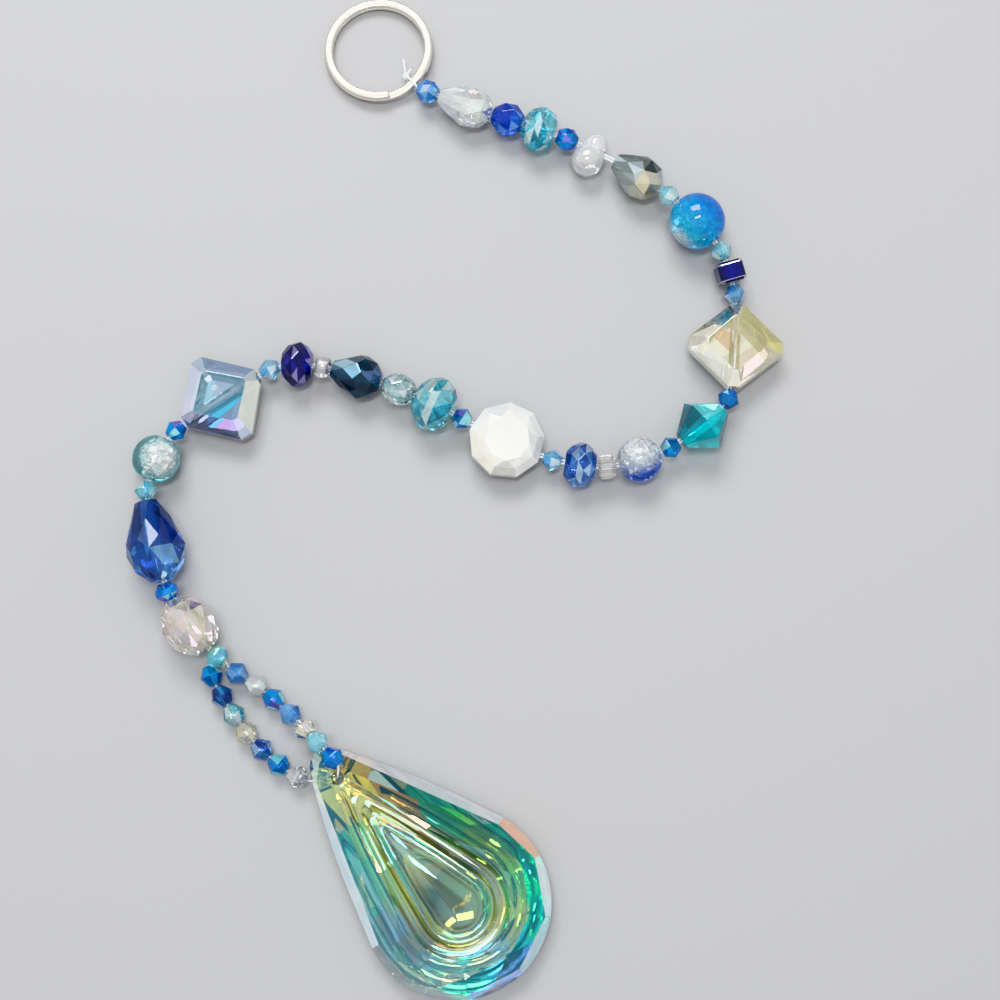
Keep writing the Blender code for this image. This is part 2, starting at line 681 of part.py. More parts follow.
def teardrop_outline(tip, end, width, corner_r):
    """Closed outline in (along, across): a round end, two gently swelling sides and a tip."""
    big_r = width / 2
    big_at, small_at = end - big_r, tip + corner_r
    lean = math.asin((big_r - corner_r) / (big_at - small_at))
    reach = math.pi / 2 + lean
    points = []
    for k in range(DROP_POINTS_ROUND):
        angle = -reach + 2 * reach * k / DROP_POINTS_ROUND
        points.append((big_at + big_r * math.cos(angle), big_r * math.sin(angle)))
    out = Vector((math.cos(reach), math.sin(reach)))
    side_from = Vector((big_at, 0)) + out * big_r
    side_to = Vector((small_at, 0)) + out * corner_r
    side = []
    for k in range(DROP_POINTS_SIDE + 1):
        swell = DROP_SIDE_SWELL * width * math.sin(math.pi * k / DROP_POINTS_SIDE)
        side.append(side_from.lerp(side_to, k / DROP_POINTS_SIDE) + out * swell)
    points += [(x, y) for x, y in side[:-1]]
    for k in range(DROP_POINTS_TIP):
        angle = reach + (2 * math.pi - 2 * reach) * k / DROP_POINTS_TIP
        points.append((small_at + corner_r * math.cos(angle), corner_r * math.sin(angle)))
    points += [(x, -y) for x, y in side[:0:-1]]
    return points


def drop_height(along, height):
    """Above the girdle, the front thins towards the tip, where the hole is."""
    if height <= DROP_GIRDLE_HIGH:
        return height
    full = DROP_THIN_TIP + (1 - DROP_THIN_TIP) * min(max(along / DROP_FULL_FROM, 0.0), 1.0)
    return DROP_GIRDLE_HIGH + (height - DROP_GIRDLE_HIGH) * full


def make_drop(parts, cutters, root, material):
    rim = (0.0, DROP_LENGTH, DROP_WIDTH, DROP_TIP_R)
    levels = ((DROP_BACK, 0.0), (rim, DROP_GIRDLE_LOW), (rim, DROP_GIRDLE_HIGH)) + DROP_FRONT
    sections = []
    for outline, height in levels:
        sections.append([(x, y, drop_height(x, height)) for x, y in teardrop_outline(*outline)])
    bm = bmesh.new()
    skin(bm, sections)
    placement = Matrix.Translation(DROP_TIP * MM) @ Matrix.Rotation(DROP_HEADING, 4, "Z")
    drop = add_object("crystal_drop", finished_mesh(bm, "crystal_drop"), parts, root, material,
                      placement)
    hole_mesh = cylinder_mesh(DROP_HOLE_D, DROP_HOLE_CUTTER_LONG, DROP_HOLE_SIDES, "drop_hole")
    hole = add_cutter("drop_hole", hole_mesh, cutters, drop,
                      Matrix.Translation((DROP_HOLE_FROM_TIP * MM, 0, 0)))
    boolean(drop, hole, "DIFFERENCE")


# The thread

def sideways(start, end):
    """Unit vector to the left of the way from start to end, in plan."""
    along = end - start
    return Vector((-along.y, along.x, 0)).normalized()


def strand_points(mouths, side):
    """One of the two strands through the main string, from the ring to the loop."""
    names = [bead[0] for bead in STRAND]
    offset = side * STRAND_OFFSET
    start, end = mouths[names[0]]
    points = [start + sideways(start, end) * offset]
    for name, following in zip(names, names[1:]):
        leaving, entering = mouths[name][1], mouths[following][0]
        left = (sideways(*mouths[name]) + sideways(*mouths[following])).normalized() * offset
        if (entering - leaving).length > BARE_THREAD_FROM:
            points += [leaving + left, entering + left]
        else:
            points.append((leaving + entering) / 2 + left)
    start, end = mouths[names[-1]]
    points.append(end + sideways(start, end) * offset)
    return points


def branch_points(mouths, beads):
    """The single strand through one branch of the loop."""
    names = [name for name, _ in beads]
    points = [mouths[names[0]][0]]
    for name, following in zip(names, names[1:]):
        points.append((mouths[name][1] + mouths[following][0]) / 2)
    points.append(mouths[names[-1]][1])
    return points


def points_round_ring():
    """Over the ring's wire, through the knot inside it and back under the wire."""
    out = tie_direction()
    outer, inner = RING_OUTER_D / 2, RING_OUTER_D / 2 - RING_WIRE_WIDE
    wire = RING_WIRE_HIGH + RING_TURN_GAP / 2 + ring_lift(RING_CENTRE + out * (outer + inner) / 2)
    clear = THREAD_D / 2 + RING_THREAD_CLEAR
    over = wire + RING_WIRE_HIGH / 2 + clear
    under = wire - RING_WIRE_HIGH / 2 - clear
    steps = ((outer + 0.25, over - 0.25), (outer - 0.1, over), (inner + 0.1, over),
             (inner - 0.5, over - 0.25), (inner - 0.9, wire), (inner - 0.5, under + 0.25),
             (inner + 0.1, under), (outer - 0.1, under), (outer + 0.35, under + 0.3))
    return [RING_CENTRE + out * radius + Vector((0, 0, z)) for radius, z in steps]


def hole_centre():
    along = Vector((math.cos(DROP_HEADING), math.sin(DROP_HEADING), 0))
    return DROP_TIP + along * DROP_HOLE_FROM_TIP


def points_through_drop(entering, leaving):
    """From the left branch, under the tip of the drop, up its hole and on to the right one."""
    hole = hole_centre()
    inwards = hole - Vector((entering.x, entering.y, 0))
    onwards = Vector((leaving.x, leaving.y, 0)) - hole
    steps = ((-0.82, 1.35), (-0.55, 0.85), (-0.3, 0.5), (-0.1, 0.42), (-0.02, 0.6), (0.02, 1.1))
    points = [hole + inwards * share + Vector((0, 0, z)) for share, z in steps]
    rising = ((0.03, 3.0), (0.06, 5.8), (0.16, 6.8), (0.35, 7.4), (0.7, 7.6))
    return points + [hole + onwards * share + Vector((0, 0, z)) for share, z in rising]


def tube_mesh(points, cyclic, name):
    """Round tube of the thread's thickness along the points, as a closed mesh."""
    guide = poly_curve(points, cyclic, name)
    guide.data.bevel_depth = THREAD_D / 2 * MM
    guide.data.bevel_resolution = 2
    guide.data.use_fill_caps = not cyclic
    return evaluated_mesh(guide)


def knot_mesh():
    bm = bmesh.new()
    bmesh.ops.create_icosphere(bm, subdivisions=1, radius=KNOT_D / 2)
    return finished_mesh(bm, "knot")


def make_thread(mouths, parts, cutters, root, material):
    left = branch_points(mouths, LOOP_LEFT)
    right = branch_points(mouths, LOOP_RIGHT)
    loop = (strand_points(mouths, -1) + [Vector(point) for point in LEAVING_LEFT] + left
            + points_through_drop(left[-1], right[-1]) + right[::-1]
            + [Vector(point) for point in LEAVING_RIGHT[::-1]] + strand_points(mouths, 1)[::-1])
    round_ring = points_round_ring()
    thread = add_object("thread", tube_mesh(loop + round_ring[::-1], True, "thread"), parts, root,
                        material)
    tie = round_ring[len(round_ring) // 2] - tie_direction() * KNOT_SHIFT
    extras = [("knot", knot_mesh(), Matrix.Translation(tie * MM))]
    for k, (length, turn) in enumerate(TAILS, 1):
        way = Matrix.Rotation(turn, 3, "Z") @ Vector((-0.3, 1.0, 0.2 / k))
        tail = [tie, tie + way * length * 0.5 + Vector((0, 0, 0.3)), tie + way * length]
        extras.append((f"tail_{k}", tube_mesh(tail, False, f"tail_{k}"), Matrix()))
    for name, mesh, placement in extras:
        boolean(thread, add_cutter(name, mesh, cutters, thread, placement), "UNION")


def build():
    clear_scene()
    parts = new_collection("crystal_suncatcher")
    cutters = new_collection("cutters")
    root = bpy.data.objects.new("suncatcher_frame", None)
    parts.objects.link(root)
    materials = {name: make_material(name, *values) for name, values in MATERIALS.items()}
    mouths = lay_string()
    make_split_ring(parts, root, materials["ring_metal"])
    make_beads(mouths, parts, cutters, root, materials)
    make_drop(parts, cutters, root, materials["drop_crystal"])
    make_thread(mouths, parts, cutters, root, materials["thread"])


build()
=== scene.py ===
"""The looks of a crystal suncatcher: cut glass beads on clear thread, a split ring and a drop.

Every bead is a copy of its solid with whole facets and softly broken edges.  The drop is cut
anew, plane by plane, with its grooves and its dome.  Sizes in this file are in millimetres
unless a name says otherwise; Blender's objects are in metres.
"""

import json
import math
import random

import bmesh
import bpy
from mathutils import Matrix, Vector


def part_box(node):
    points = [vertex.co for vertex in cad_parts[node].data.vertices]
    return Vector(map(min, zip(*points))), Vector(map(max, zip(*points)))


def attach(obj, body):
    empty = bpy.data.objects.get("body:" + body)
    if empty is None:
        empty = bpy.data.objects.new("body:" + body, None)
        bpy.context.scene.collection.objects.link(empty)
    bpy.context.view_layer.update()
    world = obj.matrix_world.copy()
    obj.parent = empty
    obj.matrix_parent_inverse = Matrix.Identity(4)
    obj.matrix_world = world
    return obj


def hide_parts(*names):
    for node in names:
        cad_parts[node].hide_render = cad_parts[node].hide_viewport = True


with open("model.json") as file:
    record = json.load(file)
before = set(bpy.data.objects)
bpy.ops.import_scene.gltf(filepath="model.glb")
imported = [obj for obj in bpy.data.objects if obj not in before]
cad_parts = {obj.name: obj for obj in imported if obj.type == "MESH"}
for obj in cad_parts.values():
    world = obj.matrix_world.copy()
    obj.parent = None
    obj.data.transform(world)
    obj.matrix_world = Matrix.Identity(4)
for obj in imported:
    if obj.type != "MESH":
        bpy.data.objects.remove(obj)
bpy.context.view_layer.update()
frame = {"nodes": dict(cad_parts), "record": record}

MM = 0.001
WELD = 1e-6
# Faces that lean apart by less than this are one facet, and past this share upwards one is level
FLAT = math.radians(1.0)
LEVEL = 0.93

# The photograph's view
CAMERA_AT = Vector((7.1, -45.3, 259.8))
CAMERA_TARGET = Vector((7.1, -4.2, 0.0))
CAMERA_LENS = 54.0
CAMERA_CLIP = 10.0
SENSOR = 36.0

# Bead edges
EDGE_ROUNDING = 0.06
SQUARE_ROUNDING = 0.14
SHARP_FROM = math.radians(12)

# Round pieces: how far triangles lean or differ and still join, and which edges stay how firm
JOIN_LEAN = math.radians(40)
JOIN_SHAPE = math.radians(50)
FIRM_FROM = math.radians(60)
FIRMNESS = 0.7

# The drop, as in its solid: outlines are start and end from the tip, width and corner radius
DROP_TIP = Vector((-24.0, -47.8, 0.0))
DROP_HEADING = math.radians(-45.7)
DROP_LENGTH = 50.0
DROP_WIDTH = 31.5
DROP_TIP_R = 3.3
DROP_SIDE_SWELL = 0.022
DROP_HOLE_D = 2.2
DROP_HOLE_FROM_TIP = 5.9
DROP_HOLE_SIDES = 32
DROP_DRILL = 30.0
DROP_GIRDLE = (2.2, 3.1)
DROP_PLATEAU = 7.8
DROP_TIP_PLATEAU = 5.75
DROP_FULL_FROM = 22.0
DROP_EDGE = (6.9, 43.3, 17.2, 1.3)
DROP_RIDGE = (14.5, 40.2, 11.2, 0.9)
DROP_DOME = (17.2, 39.2, 9.0, 0.8)
DROP_DOME_MIDDLE = (29.0, 35.0, 1.4, 0.5)
DROP_GROOVE_DEPTH = 1.15
DROP_RIDGE_TOP = 8.1
DROP_VALLEY = 7.3
DROP_TOP = 9.5
DROP_POINTS = 108
DROP_MIDDLE = Vector((31.0, 0.0, 0.0))
DROP_SLAB = 12.0
DROP_COAT_EDGE = (12.6, 42.4, 17.0, 1.0)
DROP_CUT_WELD = 1e-5
DROP_WELD = 1e-4


# Small helpers

def add_object(name, data):
    obj = bpy.data.objects.new(name, data)
    bpy.context.scene.collection.objects.link(obj)
    return obj


def mesh_from(bm, name, smooth=False):
    mesh = bpy.data.meshes.new(name)
    bm.to_mesh(mesh)
    bm.free()
    if smooth:
        mesh.shade_smooth()
    return mesh


def dress(obj, material, slot, *nodes):
    """Give a piece its material and its place in the model."""
    obj.data.materials.clear()
    obj.data.materials.append(material)
    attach(obj, "root")
    if nodes:
        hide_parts(*nodes)
    return obj


def apply_modifiers(obj):
    evaluated = obj.evaluated_get(bpy.context.evaluated_depsgraph_get())
    mesh = bpy.data.meshes.new_from_object(evaluated)
    obj.modifiers.clear()
    obj.data = mesh


def welded(node):
    bm = bmesh.new()
    bm.from_mesh(frame["nodes"][node].data)
    bmesh.ops.remove_doubles(bm, verts=bm.verts, dist=WELD)
    return bm


def split_faces(bm, faces, point, way, weld):
    """Cut some of a mesh's faces along a plane and leave the others whole."""
    parts = dict.fromkeys(faces)
    parts.update(dict.fromkeys(edge for face in faces for edge in face.edges))
    parts.update(dict.fromkeys(vert for face in faces for vert in face.verts))
    bmesh.ops.bisect_plane(bm, geom=list(parts), dist=weld, plane_co=point, plane_no=way)


def plan_way(angle):
    return Vector((math.cos(angle), math.sin(angle), 0))


def any_way(draw):
    return Vector([draw.gauss(0, 1) for _ in range(3)])


def mixed(a, b, share):
    return tuple(x + (y - x) * share for x, y in zip(a, b))


# Materials

# Between these lie most of a noise texture's values
NOISE_SPAN = (0.3, 0.7)
# Faint streaks in the glass: cells to a metre, darkest shade, and how much rougher they make it
STREAK_SCALE = 320.0
STREAK_SHADE = 0.9
STREAK_ROUGHNESS = 0.03
FILM_IOR = 2.2


def new_material(name):
    material = bpy.data.materials.new(name)
    material.use_nodes = True
    tree = material.node_tree
    return material, tree, tree.nodes["Principled BSDF"]


def noise(tree, scale, detail=3.0):
    """Noise over the object's own coordinates; scale is in cells to a metre."""
    place = tree.nodes.new("ShaderNodeTexCoord")
    texture = tree.nodes.new("ShaderNodeTexNoise")
    texture.inputs["Scale"].default_value = scale
    texture.inputs["Detail"].default_value = detail
    tree.links.new(place.outputs["Object"], texture.inputs["Vector"])
    return texture


def spread(tree, source, low, high):
    """Map a noise output onto low..high."""
    node = tree.nodes.new("ShaderNodeMapRange")
    node.inputs["From Min"].default_value = NOISE_SPAN[0]
    node.inputs["From Max"].default_value = NOISE_SPAN[1]
    node.inputs["To Min"].default_value = low
    node.inputs["To Max"].default_value = high
    tree.links.new(source, node.inputs["Value"])
    return node.outputs["Result"]


def bump(tree, source, shader, strength, distance_mm):
    node = tree.nodes.new("ShaderNodeBump")
    node.inputs["Strength"].default_value = strength
    node.inputs["Distance"].default_value = distance_mm * MM
    tree.links.new(source, node.inputs["Height"])
    tree.links.new(node.outputs["Normal"], shader.inputs["Normal"])


def toned(tree, shader, pattern, first, second):
    """Base colour that wanders between two tones with a pattern."""
    tone = tree.nodes.new("ShaderNodeMix")
    tone.data_type = "RGBA"
    tone.inputs["A"].default_value = (*first, 1)
    tone.inputs["B"].default_value = (*second, 1)
    tree.links.new(pattern, tone.inputs["Factor"])
    tree.links.new(tone.outputs["Result"], shader.inputs["Base Color"])


def tinted(tree, shader, shade, mirror=True):
    """Base colour from the facets' tints, their own colour with painted light, shade and glints where those
    were painted in; the tint's fourth number is how much it mirrors.
    """
    tint = tree.nodes.new("ShaderNodeVertexColor")
    tint.layer_name = "tint"
    times = tree.nodes.new("ShaderNodeVectorMath")
    times.operation = "SCALE"
    tree.links.new(tint.outputs["Color"], times.inputs[0])
    tree.links.new(shade, times.inputs["Scale"])
    tree.links.new(times.outputs["Vector"], shader.inputs["Base Color"])
    if mirror:
        tree.links.new(tint.outputs["Alpha"], shader.inputs["Metallic"])


def glass(name, roughness=0.0, ior=1.56, film=0.0, transmission=1.0):
    """Coloured glass with faint streaks; film is the thickness of an iridescent coat in nm."""
    material, tree, shader = new_material(name)
    shader.inputs["Transmission Weight"].default_value = transmission
    shader.inputs["IOR"].default_value = ior
    if film:
        shader.inputs["Thin Film Thickness"].default_value = film
        shader.inputs["Thin Film IOR"].default_value = FILM_IOR
    streaks = noise(tree, STREAK_SCALE).outputs["Fac"]
    tinted(tree, shader, spread(tree, streaks, STREAK_SHADE, 1.0))
    rough = spread(tree, streaks, roughness, roughness + STREAK_ROUGHNESS)
    tree.links.new(rough, shader.inputs["Roughness"])
    return material


def metal(name, colour):
    """Plated steel with fine scratches."""
    material, tree, shader = new_material(name)
    shader.inputs["Metallic"].default_value = 1.0
    scratches = noise(tree, 2600.0, 6.0).outputs["Fac"]
    toned(tree, shader, scratches, mixed(colour, (0, 0, 0), 0.18), colour)
    tree.links.new(spread(tree, scratches, 0.12, 0.30), shader.inputs["Roughness"])
    bump(tree, scratches, shader, 0.15, 0.02)
    return material


def nylon(name):
    """Clear monofilament, a little cloudy along its length."""
    material, tree, shader = new_material(name)
    shader.inputs["Transmission Weight"].default_value = 0.45
    shader.inputs["IOR"].default_value = 1.5
    clouds = noise(tree, 900.0).outputs["Fac"]
    toned(tree, shader, clouds, (0.86, 0.90, 0.92), (0.98, 0.99, 1.0))
    tree.links.new(spread(tree, clouds, 0.15, 0.3), shader.inputs["Roughness"])
    return material


def pearl_glass(name):
    """Milky ivory glass with slow swirls and a silky skin."""
    material, tree, shader = new_material(name)
    swirl = noise(tree, 150.0, 4.0)
    swirl.inputs["Distortion"].default_value = 2.5
    tinted(tree, shader, spread(tree, swirl.outputs["Fac"], 0.80, 1.0), mirror=False)
    shader.inputs["Roughness"].default_value = 0.25
    shader.inputs["Subsurface Weight"].default_value = 0.2
    shader.inputs["Subsurface Radius"].default_value = (1.0, 0.95, 0.9)
    shader.inputs["Subsurface Scale"].default_value = 1.2 * MM
    shader.inputs["Coat Weight"].default_value = 0.7
    shader.inputs["Coat Roughness"].default_value = 0.10
    return material


# Tints of the glass: each facet takes one of its slot's in turn, as red, green, blue and mirror. Each slot's
# lighter and darker copies of its glass colour are painted light and shade, and its palest, most mirroring
# tints are painted glints; the hued tints of the aurora and rose slots are their coats' colours.
TINTS_AND_PAINTED_LIGHT = {
    "clear": ((0.96, 0.97, 0.98, 0.05), (0.97, 0.98, 0.99, 0.35), (0.90, 0.93, 0.95, 0.0)),
    "clear_rose": ((0.99, 0.98, 0.98, 0.3), (0.98, 0.92, 0.95, 0.2), (0.94, 0.92, 0.99, 0.4),
                   (0.99, 0.99, 0.99, 0.6)),
    "clear_aurora": ((0.98, 0.98, 0.98, 0.1), (0.99, 0.96, 0.55, 0.35), (0.99, 0.86, 0.80, 0.2),
                     (0.86, 0.84, 0.99, 0.3), (0.98, 0.98, 0.97, 0.4)),
    "light_sapphire": ((0.12, 0.42, 0.90, 0.0), (0.30, 0.62, 0.97, 0.1), (0.03, 0.20, 0.66, 0.0),
                       (0.65, 0.85, 0.99, 0.5)),
    "sapphire": ((0.03, 0.20, 0.74, 0.0), (0.10, 0.42, 0.94, 0.1), (0.01, 0.05, 0.34, 0.0),
                 (0.45, 0.68, 0.99, 0.45)),
    "cobalt": ((0.01, 0.06, 0.60, 0.0), (0.02, 0.16, 0.80, 0.0), (0.20, 0.45, 0.97, 0.3)),
    "cobalt_aurora": ((0.01, 0.06, 0.64, 0.0), (0.02, 0.18, 0.86, 0.0), (0.02, 0.34, 0.94, 0.25),
                      (0.36, 0.20, 0.88, 0.35), (0.50, 0.96, 0.97, 0.6), (0.01, 0.02, 0.36, 0.0)),
    "light_blue": ((0.30, 0.70, 0.98, 0.0), (0.50, 0.84, 0.99, 0.2), (0.16, 0.52, 0.90, 0.0),
                   (0.80, 0.94, 0.99, 0.5)),
    "pale_aqua": ((0.35, 0.82, 0.96, 0.0), (0.55, 0.93, 0.98, 0.2), (0.16, 0.64, 0.86, 0.0),
                  (0.80, 0.98, 0.96, 0.5)),
    "aqua": ((0.07, 0.64, 0.83, 0.0), (0.35, 0.87, 0.96, 0.1), (0.01, 0.41, 0.62, 0.0),
             (0.82, 0.97, 0.97, 0.5)),
    "capri": ((0.00, 0.34, 0.92, 0.0), (0.02, 0.56, 0.98, 0.2), (0.00, 0.14, 0.60, 0.0),
              (0.30, 0.90, 0.97, 0.5)),
    "turquoise": ((0.00, 0.82, 0.92, 0.0), (0.00, 0.16, 0.24, 0.0), (0.20, 0.96, 0.99, 0.2),
                  (0.00, 0.26, 0.34, 0.0)),
    "smoke": ((0.24, 0.30, 0.30, 0.0), (0.86, 0.95, 0.99, 0.8), (0.94, 0.86, 0.58, 0.5),
              (0.06, 0.08, 0.08, 0.0), (0.60, 0.68, 0.66, 0.3)),
    "montana": ((0.01, 0.07, 0.16, 0.0), (0.04, 0.20, 0.38, 0.0), (0.35, 0.68, 0.92, 0.55),
                (0.00, 0.02, 0.05, 0.0), (0.62, 0.82, 0.92, 0.5)),
    "pearl": ((0.58, 0.59, 0.58, 0.0), (0.78, 0.77, 0.74, 0.0), (0.68, 0.67, 0.63, 0.0)),
}
# Beads with tints of their own, drawn in the same way: lighter and darker copies of a glass colour are
# painted light and shade, and the palest, most mirroring tints are painted glints
NODE_TINTS_AND_PAINTED_LIGHT = {
    "bead_06_clear_nugget": ((0.96, 0.96, 0.96, 0.12),),
    "bead_35_clear_oval": ((0.98, 0.96, 0.97, 0.1), (0.99, 0.86, 0.90, 0.3), (0.88, 0.84, 0.99, 0.3),
                           (0.99, 0.98, 0.98, 0.5), (0.99, 0.92, 0.80, 0.2)),
    "bead_18_clear_cube": ((0.99, 0.96, 0.86, 0.25), (0.97, 0.97, 0.97, 0.1)),
    "bead_24_clear_oval": ((0.74, 0.92, 0.93, 0.1), (0.94, 0.98, 0.97, 0.35), (0.45, 0.74, 0.76, 0.0)),
    "bead_26_clear_seed": ((0.95, 0.95, 0.93, 0.1),),
    "bead_36_aqua_aurora_round": ((0.25, 0.80, 0.84, 0.0), (0.55, 0.97, 0.86, 0.5),
                                  (0.20, 0.60, 0.90, 0.1)),
    "bead_27_cobalt_rondelle": ((0.00, 0.00, 0.10, 0.0), (0.01, 0.00, 0.30, 0.0), (0.00, 0.00, 0.16, 0.0),
                                (0.01, 0.01, 0.40, 0.0), (0.45, 0.40, 0.75, 0.5)),
    "bead_19_sapphire_rondelle": ((0.02, 0.12, 0.56, 0.0), (0.08, 0.28, 0.80, 0.0), (0.24, 0.50, 0.95, 0.1),
                                  (0.01, 0.04, 0.28, 0.0), (0.05, 0.20, 0.68, 0.0), (0.55, 0.76, 0.99, 0.4)),
}
# The bores' dull walls, and a pale painted highlight on the beads' broken edges
BORE_TINT = (0.94, 0.94, 0.99, 0.4)
EDGE_HIGHLIGHT_TINT = (0.96, 0.97, 0.99, 0.6)


# Beads whose tint goes by where a facet faces: above, below, then by degrees from +X in plan. Over each
# glass's own colour, this paints how light falls on each facet and what it reflects: painted light, painted
# shade and painted reflections.
FACING_TINTS_AND_PAINTED_LIGHT = {
    "bead_11_navy_cube": ((0.01, 0.01, 0.40, 0.0), (0.00, 0.00, 0.12, 0.0), (
        (-180, (0.00, 0.00, 0.12, 0.0)), (180, (0.00, 0.00, 0.12, 0.0)))),
    "bead_13_clear_square": ((0.99, 0.97, 0.94, 0.05), (0.98, 0.84, 0.72, 0.55), (
        (-180, (0.99, 0.98, 0.96, 0.7)), (-135, (0.95, 0.96, 0.93, 0.7)), (-90, (0.99, 0.98, 0.94, 0.8)),
        (-45, (0.97, 0.90, 0.84, 0.6)), (-10, (0.96, 0.92, 0.45, 0.6)), (45, (0.90, 0.82, 0.42, 0.6)),
        (90, (0.99, 0.96, 0.90, 0.7)), (135, (0.90, 0.84, 0.80, 0.6)), (180, (0.99, 0.98, 0.96, 0.7)))),
    "bead_29_clear_square": ((0.92, 0.96, 0.99, 0.05), (0.18, 0.60, 0.98, 0.55), (
        (-180, (0.92, 0.90, 0.99, 0.75)), (-110, (0.34, 0.26, 0.40, 0.5)), (-80, (0.42, 0.38, 0.60, 0.5)),
        (-45, (0.90, 0.88, 0.97, 0.7)), (-12, (0.99, 0.98, 0.88, 0.85)), (20, (0.97, 0.96, 0.86, 0.8)),
        (75, (0.50, 0.52, 0.66, 0.5)), (100, (0.60, 0.62, 0.76, 0.5)), (140, (0.90, 0.94, 0.97, 0.7)),
        (168, (0.90, 0.88, 0.99, 0.75)), (180, (0.92, 0.90, 0.99, 0.75)))),
    "bead_07_smoke_teardrop": ((0.80, 0.93, 0.99, 0.85), (0.30, 0.32, 0.30, 0.3), (
        (-180, (0.36, 0.44, 0.42, 0.3)), (-130, (0.66, 0.74, 0.74, 0.5)), (-95, (0.92, 0.84, 0.58, 0.6)),
        (-60, (0.50, 0.46, 0.30, 0.4)), (-25, (0.88, 0.86, 0.74, 0.6)), (0, (0.62, 0.74, 0.86, 0.5)),
        (30, (0.05, 0.08, 0.07, 0.1)), (60, (0.40, 0.48, 0.46, 0.4)), (95, (0.03, 0.05, 0.05, 0.1)),
        (140, (0.72, 0.90, 0.96, 0.7)), (180, (0.36, 0.44, 0.42, 0.3)))),
    "bead_25_montana_teardrop": ((0.40, 0.76, 0.98, 0.8), (0.02, 0.10, 0.22, 0.3), (
        (-180, (0.03, 0.14, 0.26, 0.0)), (-135, (0.00, 0.02, 0.05, 0.1)), (-90, (0.02, 0.08, 0.14, 0.1)),
        (-45, (0.00, 0.02, 0.05, 0.1)), (0, (0.22, 0.36, 0.74, 0.5)), (35, (0.01, 0.05, 0.10, 0.1)),
        (90, (0.00, 0.02, 0.05, 0.1)), (125, (0.50, 0.72, 0.84, 0.6)), (180, (0.03, 0.14, 0.26, 0.0)))),
    "bead_33_sapphire_teardrop": ((0.36, 0.60, 0.97, 0.0), (0.06, 0.26, 0.80, 0.2), (
        (-180, (0.03, 0.16, 0.60, 0.0)), (-135, (0.10, 0.34, 0.86, 0.1)), (-90, (0.02, 0.08, 0.50, 0.0)),
        (-50, (0.10, 0.40, 0.95, 0.1)), (-20, (0.35, 0.74, 0.99, 0.4)), (10, (0.02, 0.07, 0.40, 0.0)),
        (50, (0.01, 0.04, 0.30, 0.0)), (90, (0.06, 0.22, 0.70, 0.0)), (130, (0.01, 0.06, 0.36, 0.0)),
        (180, (0.03, 0.16, 0.60, 0.0)))),
    "bead_21_pearl_disc": ((0.66, 0.65, 0.61, 0.0), (0.60, 0.60, 0.57, 0.0), (
        (-180, (0.66, 0.64, 0.56, 0.0)), (-135, (0.70, 0.68, 0.60, 0.0)), (-90, (0.50, 0.49, 0.46, 0.0)),
        (-45, (0.64, 0.64, 0.62, 0.0)), (0, (0.44, 0.45, 0.45, 0.0)), (45, (0.68, 0.68, 0.67, 0.0)),
        (90, (0.46, 0.47, 0.48, 0.0)), (135, (0.62, 0.62, 0.62, 0.0)), (180, (0.66, 0.64, 0.56, 0.0)))),
}


# The flat backs of the square beads.  Cuts: the way across in degrees, then the distance from the
# middle.  Spots: a place from the middle, then the tint of the pieces nearest to it.
# The spots' tints are painted reflections: what the crowns' facets reflect and bend into view
SQUARE_BACK_REFLECTIONS = {
    "bead_13_clear_square": (
        ((-3, 0.0), (44, -1.3), (44, -2.9), (125, -0.3), (125, -1.7), (80, 2.6)),
        (((-2.2, 1.4), (0.86, 0.50, 0.34, 0.7)), ((-3.2, 3.3), (0.34, 0.27, 0.20, 0.6)),
         ((1.1, 1.6), (0.93, 0.84, 0.90, 0.7)), ((3.7, 2.8), (0.66, 0.56, 0.38, 0.6)),
         ((-2.9, -0.3), (0.99, 0.98, 0.88, 0.9)), ((2.4, 0.0), (0.99, 0.95, 0.84, 0.9)),
         ((-3.2, -2.8), (0.86, 0.90, 0.82, 0.7)), ((2.4, -2.4), (0.93, 0.78, 0.70, 0.7)),
         ((5.2, -0.3), (0.96, 0.90, 0.22, 0.7)), ((-1.0, 3.6), (0.96, 0.92, 0.84, 0.7)))),
    "bead_29_clear_square": (
        ((-52, 0.0), (-50, 1.0), (-50, 2.1), (-11, -1.9), (-11, 2.2), (82, 3.2)),
        (((-0.4, 2.6), (0.58, 0.64, 0.80, 0.7)), ((-2.6, 1.6), (0.55, 0.84, 0.97, 0.8)),
         ((0.9, -0.4), (0.10, 0.45, 0.92, 0.9)), ((0.6, -1.7), (0.02, 0.62, 0.97, 0.9)),
         ((-2.0, -2.6), (0.24, 0.16, 0.30, 0.7)), ((2.2, -2.6), (0.36, 0.34, 0.60, 0.7)),
         ((3.2, -0.4), (0.10, 0.50, 0.72, 0.8)), ((0.4, -4.2), (0.26, 0.20, 0.44, 0.7)),
         ((3.0, 3.0), (0.80, 0.82, 0.95, 0.7)))),
}


def cut_back(bm, node):
    """Part a square bead's flat back along its cuts, so that each piece can have its own painted reflection.
    """
    for degrees, distance in SQUARE_BACK_REFLECTIONS[node][0]:
        way = plan_way(math.radians(degrees))
        back = [face for face in bm.faces if face.normal.z < -LEVEL]
        split_faces(bm, back, bead_middle(node) + way * distance * MM, way, WELD)


def bead_middle(node):
    low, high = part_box(node)
    return (low + high) / 2


def tint_facets(mesh, pick):
    """Write each face's tint, from pick(face), to the mesh."""
    layer = mesh.color_attributes.new("tint", "FLOAT_COLOR", "CORNER")
    for face in mesh.polygons:
        colour = pick(face)
        for corner in face.loop_indices:
            layer.data[corner].color = colour


def stop_colour(stops, at):
    """The colour at an angle or a place, between the stops on each side of it."""
    for (low, first), (high, second) in zip(stops, stops[1:]):
        if at <= high:
            return mixed(first, second, max(at - low, 0.0) / (high - low))
    return stops[-1][1]


def facing(face):
    """The way a face's outside looks in plan, in degrees from +X."""
    return math.degrees(math.atan2(face.normal.y, face.normal.x))


